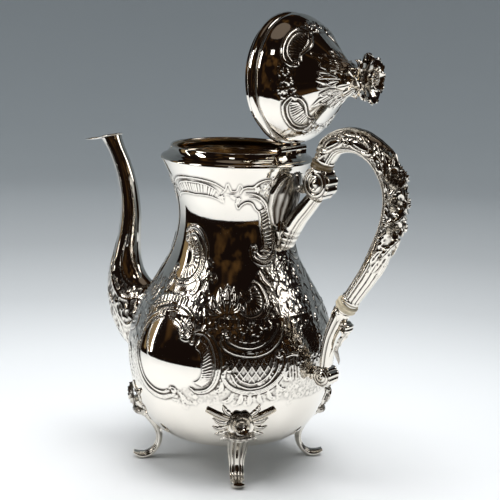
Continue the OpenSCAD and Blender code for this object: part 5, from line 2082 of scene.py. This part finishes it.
    def _flower(self) -> None:
        """Open the flower in three whorls round a beaded heart."""
        parts = []
        for count, lift, tip, length, width, z, curl, offset in ((6, 31, 2.2, 12.6, 6.9, 49.4, 2.6, 12),
                (5, 62, 1.6, 9.8, 5.2, 51.2, 1.0, 40), (7, -4, 2.6, 8.2, 2.6, 48.2, 1.4, 30)):
            for n in range(count):
                m = self._petal(length, width, curl)
                wob = 5 * math.sin(n * 2.4 + offset)
                m.transform(Matrix.Rotation(math.radians(360 * n / count + offset), 4, "Z")
                    @ Matrix.Translation((tip, 0, z)) @ Matrix.Rotation(math.radians(-lift + wob), 4, "Y"))
                parts.append(m)
        heart = to_mesh(turned(smooth(((0, 46.4), (3.6, 46.6), (4.4, 49), (4.2, 52), (3.4, 55.4), (2.2, 57.4),
            (0, 58)), 6), 64), "heart")
        parts.append(heart)
        bm = bmesh.new()
        for n in range(19):
            a, r = 2.4 * n, 0.75 * math.sqrt(n)
            bmesh.ops.create_icosphere(bm, subdivisions=2, radius=0.72, matrix=Matrix.Translation((r
                * math.cos(a), r * math.sin(a), 58.4 - 0.12 * r * r)))
        parts.append(to_mesh(bm, "stamens"))
        Piece("finial_blossom", "lid", Look.CAST, ("finial_flower",), on_lid).add(merged(parts,
            "finial_blossom"))


# --- Studio ---


@dataclass
class Studio:
    """Floor, mirrored room, light and camera.

    Args:
        azimuth: direction of the camera, in degrees.
        pitch: how far it looks down, in degrees.
        roll: how far it leans, in degrees.
        distance: metres from the pot's axis.
        height: metres above the floor.
        aside: metres to the right.
        focal_px: focal length in widths of one five-hundredth of the frame.
        room: first and last direction of the dark wall, in degrees.
    """

    azimuth: float = 37.77
    pitch: float = 11.66
    roll: float = 1.80
    distance: float = 0.8073
    height: float = 0.2971
    aside: float = 0.00948
    focal_px: float = 1368.7
    room: tuple[float, float] = (-168, 66)

    def build(self) -> None:
        """Set everything round the pot."""
        self._sweep()
        self._cards()
        self._lights()
        self._camera()

    @staticmethod
    def _glow(name: str, colour: Colour, strength: float) -> bpy.types.Material:
        """Make a surface that gives light.

        Args:
            name: the material's name.
            colour: its colour.
            strength: its strength.

        Returns:
            The material.
        """
        mat = bpy.data.materials.new(name)
        mat.use_nodes = True
        nodes, links = mat.node_tree.nodes, mat.node_tree.links
        nodes.clear()
        out, lamp = nodes.new("ShaderNodeOutputMaterial"), nodes.new("ShaderNodeEmission")
        lamp.inputs["Color"].default_value = (*colour, 1)
        lamp.inputs["Strength"].default_value = strength
        links.new(lamp.outputs[0], out.inputs[0])
        return mat

    def _sweep(self) -> None:
        """Turn the pale floor up into a soft round backdrop, its colour painted with a pool of light in front
        of the pot that fades to darker grey across the floor and up the backdrop.
        """
        bm = bmesh.new()
        line = [(0, 0), (0.4, 0), (0.8, 0), (1.1, 0)]
        line += [(1.1 + 0.5 * math.sin(a), 0.5 - 0.5 * math.cos(a)) for a in np.linspace(0.15, math.pi / 2,
            10)]
        line += [(1.6, 1.2), (1.6, 2.2)]
        verts = [bm.verts.new((r, 0, z - 0.0001)) for r, z in line]
        edges = [bm.edges.new(p) for p in zip(verts, verts[1:])]
        bmesh.ops.spin(bm, geom=verts + edges, cent=(0, 0, 0), axis=(0, 0, 1), angle=2 * math.pi, steps=96,
            use_merge=True, use_duplicate=False)
        bmesh.ops.remove_doubles(bm, verts=bm.verts[:], dist=1e-5)
        bmesh.ops.recalc_face_normals(bm, faces=bm.faces[:])
        mesh = to_mesh(bm, "floor_sweep")
        mesh.polygons.foreach_set("use_smooth", np.full(len(mesh.polygons), True))
        mat = bpy.data.materials.new("floor_with_painted_light")
        mat.use_nodes = True
        nodes, links = mat.node_tree.nodes, mat.node_tree.links
        shader = nodes["Principled BSDF"]
        shader.inputs["Roughness"].default_value = 0.55
        place = nodes.new("ShaderNodeTexCoord")
        length = nodes.new("ShaderNodeVectorMath")
        length.operation = "LENGTH"
        ahead = nodes.new("ShaderNodeVectorMath")
        ahead.operation = "SUBTRACT"
        ahead.inputs[1].default_value = (0.13, -0.17, 0.0)
        links.new(place.outputs["Object"], ahead.inputs[0])
        links.new(ahead.outputs["Vector"], length.inputs[0])
        ramp = nodes.new("ShaderNodeValToRGB")
        # Painted light: bright near a point in front of the pot, fading to darker bluish grey across the
        # floor and up the backdrop.
        painted_light_falloff = ((0.0, 0.88), (0.16, 0.86), (0.24, 0.75), (0.33, 0.57), (0.46, 0.44), (0.62, 0.40),
            (0.80, 0.31), (1.0, 0.23))
        for n, (at, v) in enumerate(painted_light_falloff):
            e = ramp.color_ramp.elements[n] if n < 2 else ramp.color_ramp.elements.new(at)
            e.position = at
            e.color = (v * (1 - 0.16 * at), v * (1 - 0.05 * at), v * (1 + 0.02 * at), 1)
        far = nodes.new("ShaderNodeMapRange")
        far.inputs["From Max"].default_value = 1.9
        links.new(length.outputs["Value"], far.inputs["Value"])
        links.new(far.outputs[0], ramp.inputs[0])
        links.new(ramp.outputs[0], shader.inputs["Base Color"])
        mesh.materials.append(mat)
        obj = bpy.data.objects.new("floor_sweep", mesh)
        bpy.context.collection.objects.link(obj)

    def _card(self, name: str, mesh: bpy.types.Mesh, mat: bpy.types.Material) -> None:
        """Hang a card that only polished surfaces see.

        Args:
            name: the card's name.
            mesh: its shape in metres.
            mat: its surface.
        """
        mesh.materials.append(mat)
        obj = bpy.data.objects.new(name, mesh)
        bpy.context.collection.objects.link(obj)
        obj.visible_camera = obj.visible_diffuse = obj.visible_shadow = False
        obj.visible_transmission = obj.visible_volume_scatter = False

    def _arc(self, name: str, radius: float, first: float, last: float, low: float, high: float,
            mat: bpy.types.Material) -> None:
        """Hang a curved card round the pot.

        Args:
            name: the card's name.
            radius: distance from the pot's axis.
            first: first direction in degrees.
            last: last direction.
            low: lowest height.
            high: highest height.
            mat: its surface.
        """
        bm = bmesh.new()
        a = math.radians(first)
        verts = [bm.verts.new((radius * math.cos(a), radius * math.sin(a), z)) for z in (low, high)]
        edge = bm.edges.new(verts)
        bmesh.ops.spin(bm, geom=verts + [edge], cent=(0, 0, 0), axis=(0, 0, 1), angle=math.radians(last
            - first), steps=48, use_duplicate=False)
        self._card(name, to_mesh(bm, name), mat)

    def _cards(self) -> None:
        """Set the dark room and its bright windows for the silver to mirror."""
        dark = self._glow("dark_room", (0.012, 0.007, 0.004), 1.0)
        nodes, links = dark.node_tree.nodes, dark.node_tree.links
        place, cloud, ramp = (nodes.new(f"ShaderNode{kind}") for kind in ("TexCoord", "TexNoise", "ValToRGB"))
        cloud.inputs["Scale"].default_value = 2.6
        links.new(place.outputs["Object"], cloud.inputs["Vector"])
        links.new(cloud.outputs["Fac"], ramp.inputs[0])
        for e, at, tone in zip(ramp.color_ramp.elements, (0.54, 0.74), ((0.007, 0.004, 0.003, 1),
                (0.075, 0.038, 0.012, 1))):
            e.position, e.color = at, tone
        links.new(ramp.outputs[0], nodes["Emission"].inputs["Color"])
        gold = self._glow("warm_wall", (0.34, 0.24, 0.12), 0.7)
        white = self._glow("window", (1.0, 0.985, 0.96), 7.0)
        soft = self._glow("soft_window", (1.0, 0.985, 0.96), 3.0)
        first, last = self.room
        self._arc("room_wall", 0.98, first, last, 0.002, 1.4, dark)
        bm = bmesh.new()
        a = math.radians(first)
        verts = [bm.verts.new((r * math.cos(a), r * math.sin(a), 0.003)) for r in (0.46, 0.98)]
        edge = bm.edges.new(verts)
        bmesh.ops.spin(bm, geom=verts + [edge], cent=(0, 0, 0), axis=(0, 0, 1), angle=math.radians(last
            - first), steps=64, use_duplicate=False)
        self._card("room_floor", to_mesh(bm, "room_floor"), dark)
        bm = bmesh.new()
        bmesh.ops.create_circle(bm, cap_ends=True, segments=64, radius=1.5, matrix=Matrix.Translation((0, 0,
            1.4)))
        self._card("room_ceiling", to_mesh(bm, "room_ceiling"), dark)
        bm = bmesh.new()
        bmesh.ops.create_circle(bm, cap_ends=True, segments=64, radius=0.40, matrix=Matrix.Translation((0.05,
            -0.05, 1.38)))
        self._card("ceiling_glow", to_mesh(bm, "ceiling_glow"), self._glow("ceiling_glow", (0.15, 0.12,
            0.095), 0.9))
        self._arc("gold_side", 0.96, -160, -148, 0.0, 0.55, gold)
        self._arc("strip_left", 0.94, -147.5, -146, 0.02, 0.80, white)
        self._arc("window_left", 0.95, -127, -114, 0.50, 1.05, white)
        self._arc("window_high", 0.95, -66, -56, 1.05, 1.3, soft)
        self._arc("window_right", 0.95, 24, 44, 0.5, 1.2, soft)

    def _lights(self) -> None:
        """Light the floor softly from above and fill from all round."""
        world = bpy.data.worlds.new("studio")
        bpy.context.scene.world = world
        world.use_nodes = True
        back = world.node_tree.nodes["Background"]
        back.inputs[0].default_value = (0.96, 0.98, 1.0, 1)
        back.inputs[1].default_value = 0.72
        for name, where, size, power in (("overhead", (0.05, 0.1, 1.35), 1.1, 20.0), ("fill_left",
                (-0.9, -0.9, 1.1), 0.8, 7.0)):
            data = bpy.data.lights.new(name, "AREA")
            data.energy, data.size = power, size
            obj = bpy.data.objects.new(name, data)
            obj.location = where
            obj.rotation_euler = (Vector((0, 0, 0.05)) - Vector(where)).to_track_quat("-Z", "Y").to_euler()
            obj.visible_glossy = False
            bpy.context.collection.objects.link(obj)

    def _camera(self) -> None:
        """Stand the camera at the measured place."""
        a, p, r = (math.radians(v) for v in (self.azimuth, self.pitch, self.roll))
        back = Vector((math.sin(a), -math.cos(a), 0))
        right = Vector((math.cos(a), math.sin(a), 0))
        pos = back * self.distance + Vector((AXIS_X * MM, 0, self.height)) + right * self.aside
        ahead = -back * math.cos(p) + Vector((0, 0, -math.sin(p)))
        up = right.cross(ahead)
        right2 = right * math.cos(r) + up * math.sin(r)
        up2 = -right * math.sin(r) + up * math.cos(r)
        data = bpy.data.cameras.new("camera")
        data.sensor_width = 36.0
        data.lens = self.focal_px / 500 * 36.0
        data.clip_start = 0.01
        cam = bpy.data.objects.new("camera", data)
        m = Matrix.Identity(4)
        for i, v in enumerate((right2, up2, -ahead, pos)):
            m.col[i] = (*v, 1.0 if i == 3 else 0.0)
        cam.matrix_world = m
        bpy.context.collection.objects.link(cam)
        bpy.context.scene.camera = cam


def dress_frame() -> None:
    """Give the CAD nodes that stay visible their silver."""
    for name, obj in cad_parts.items():
        if not obj.hide_render:
            for place in obj.material_slots:
                place.material = Look.SILVER.value.make()
            LOG.info("%s keeps its CAD shape", name)


def main() -> None:
    """Build the pot in order and report each piece."""
    logging.basicConfig(level=logging.INFO, format="%(message)s")
    bpy.context.scene.view_settings.view_transform = "Standard"
    Studio().build()
    for part in (Vessel(), Spout(), Handle(), Feet(), Lid()):
        part.build()
    dress_frame()
    bpy.context.view_layer.update()


if __name__ == "__main__":
    main()
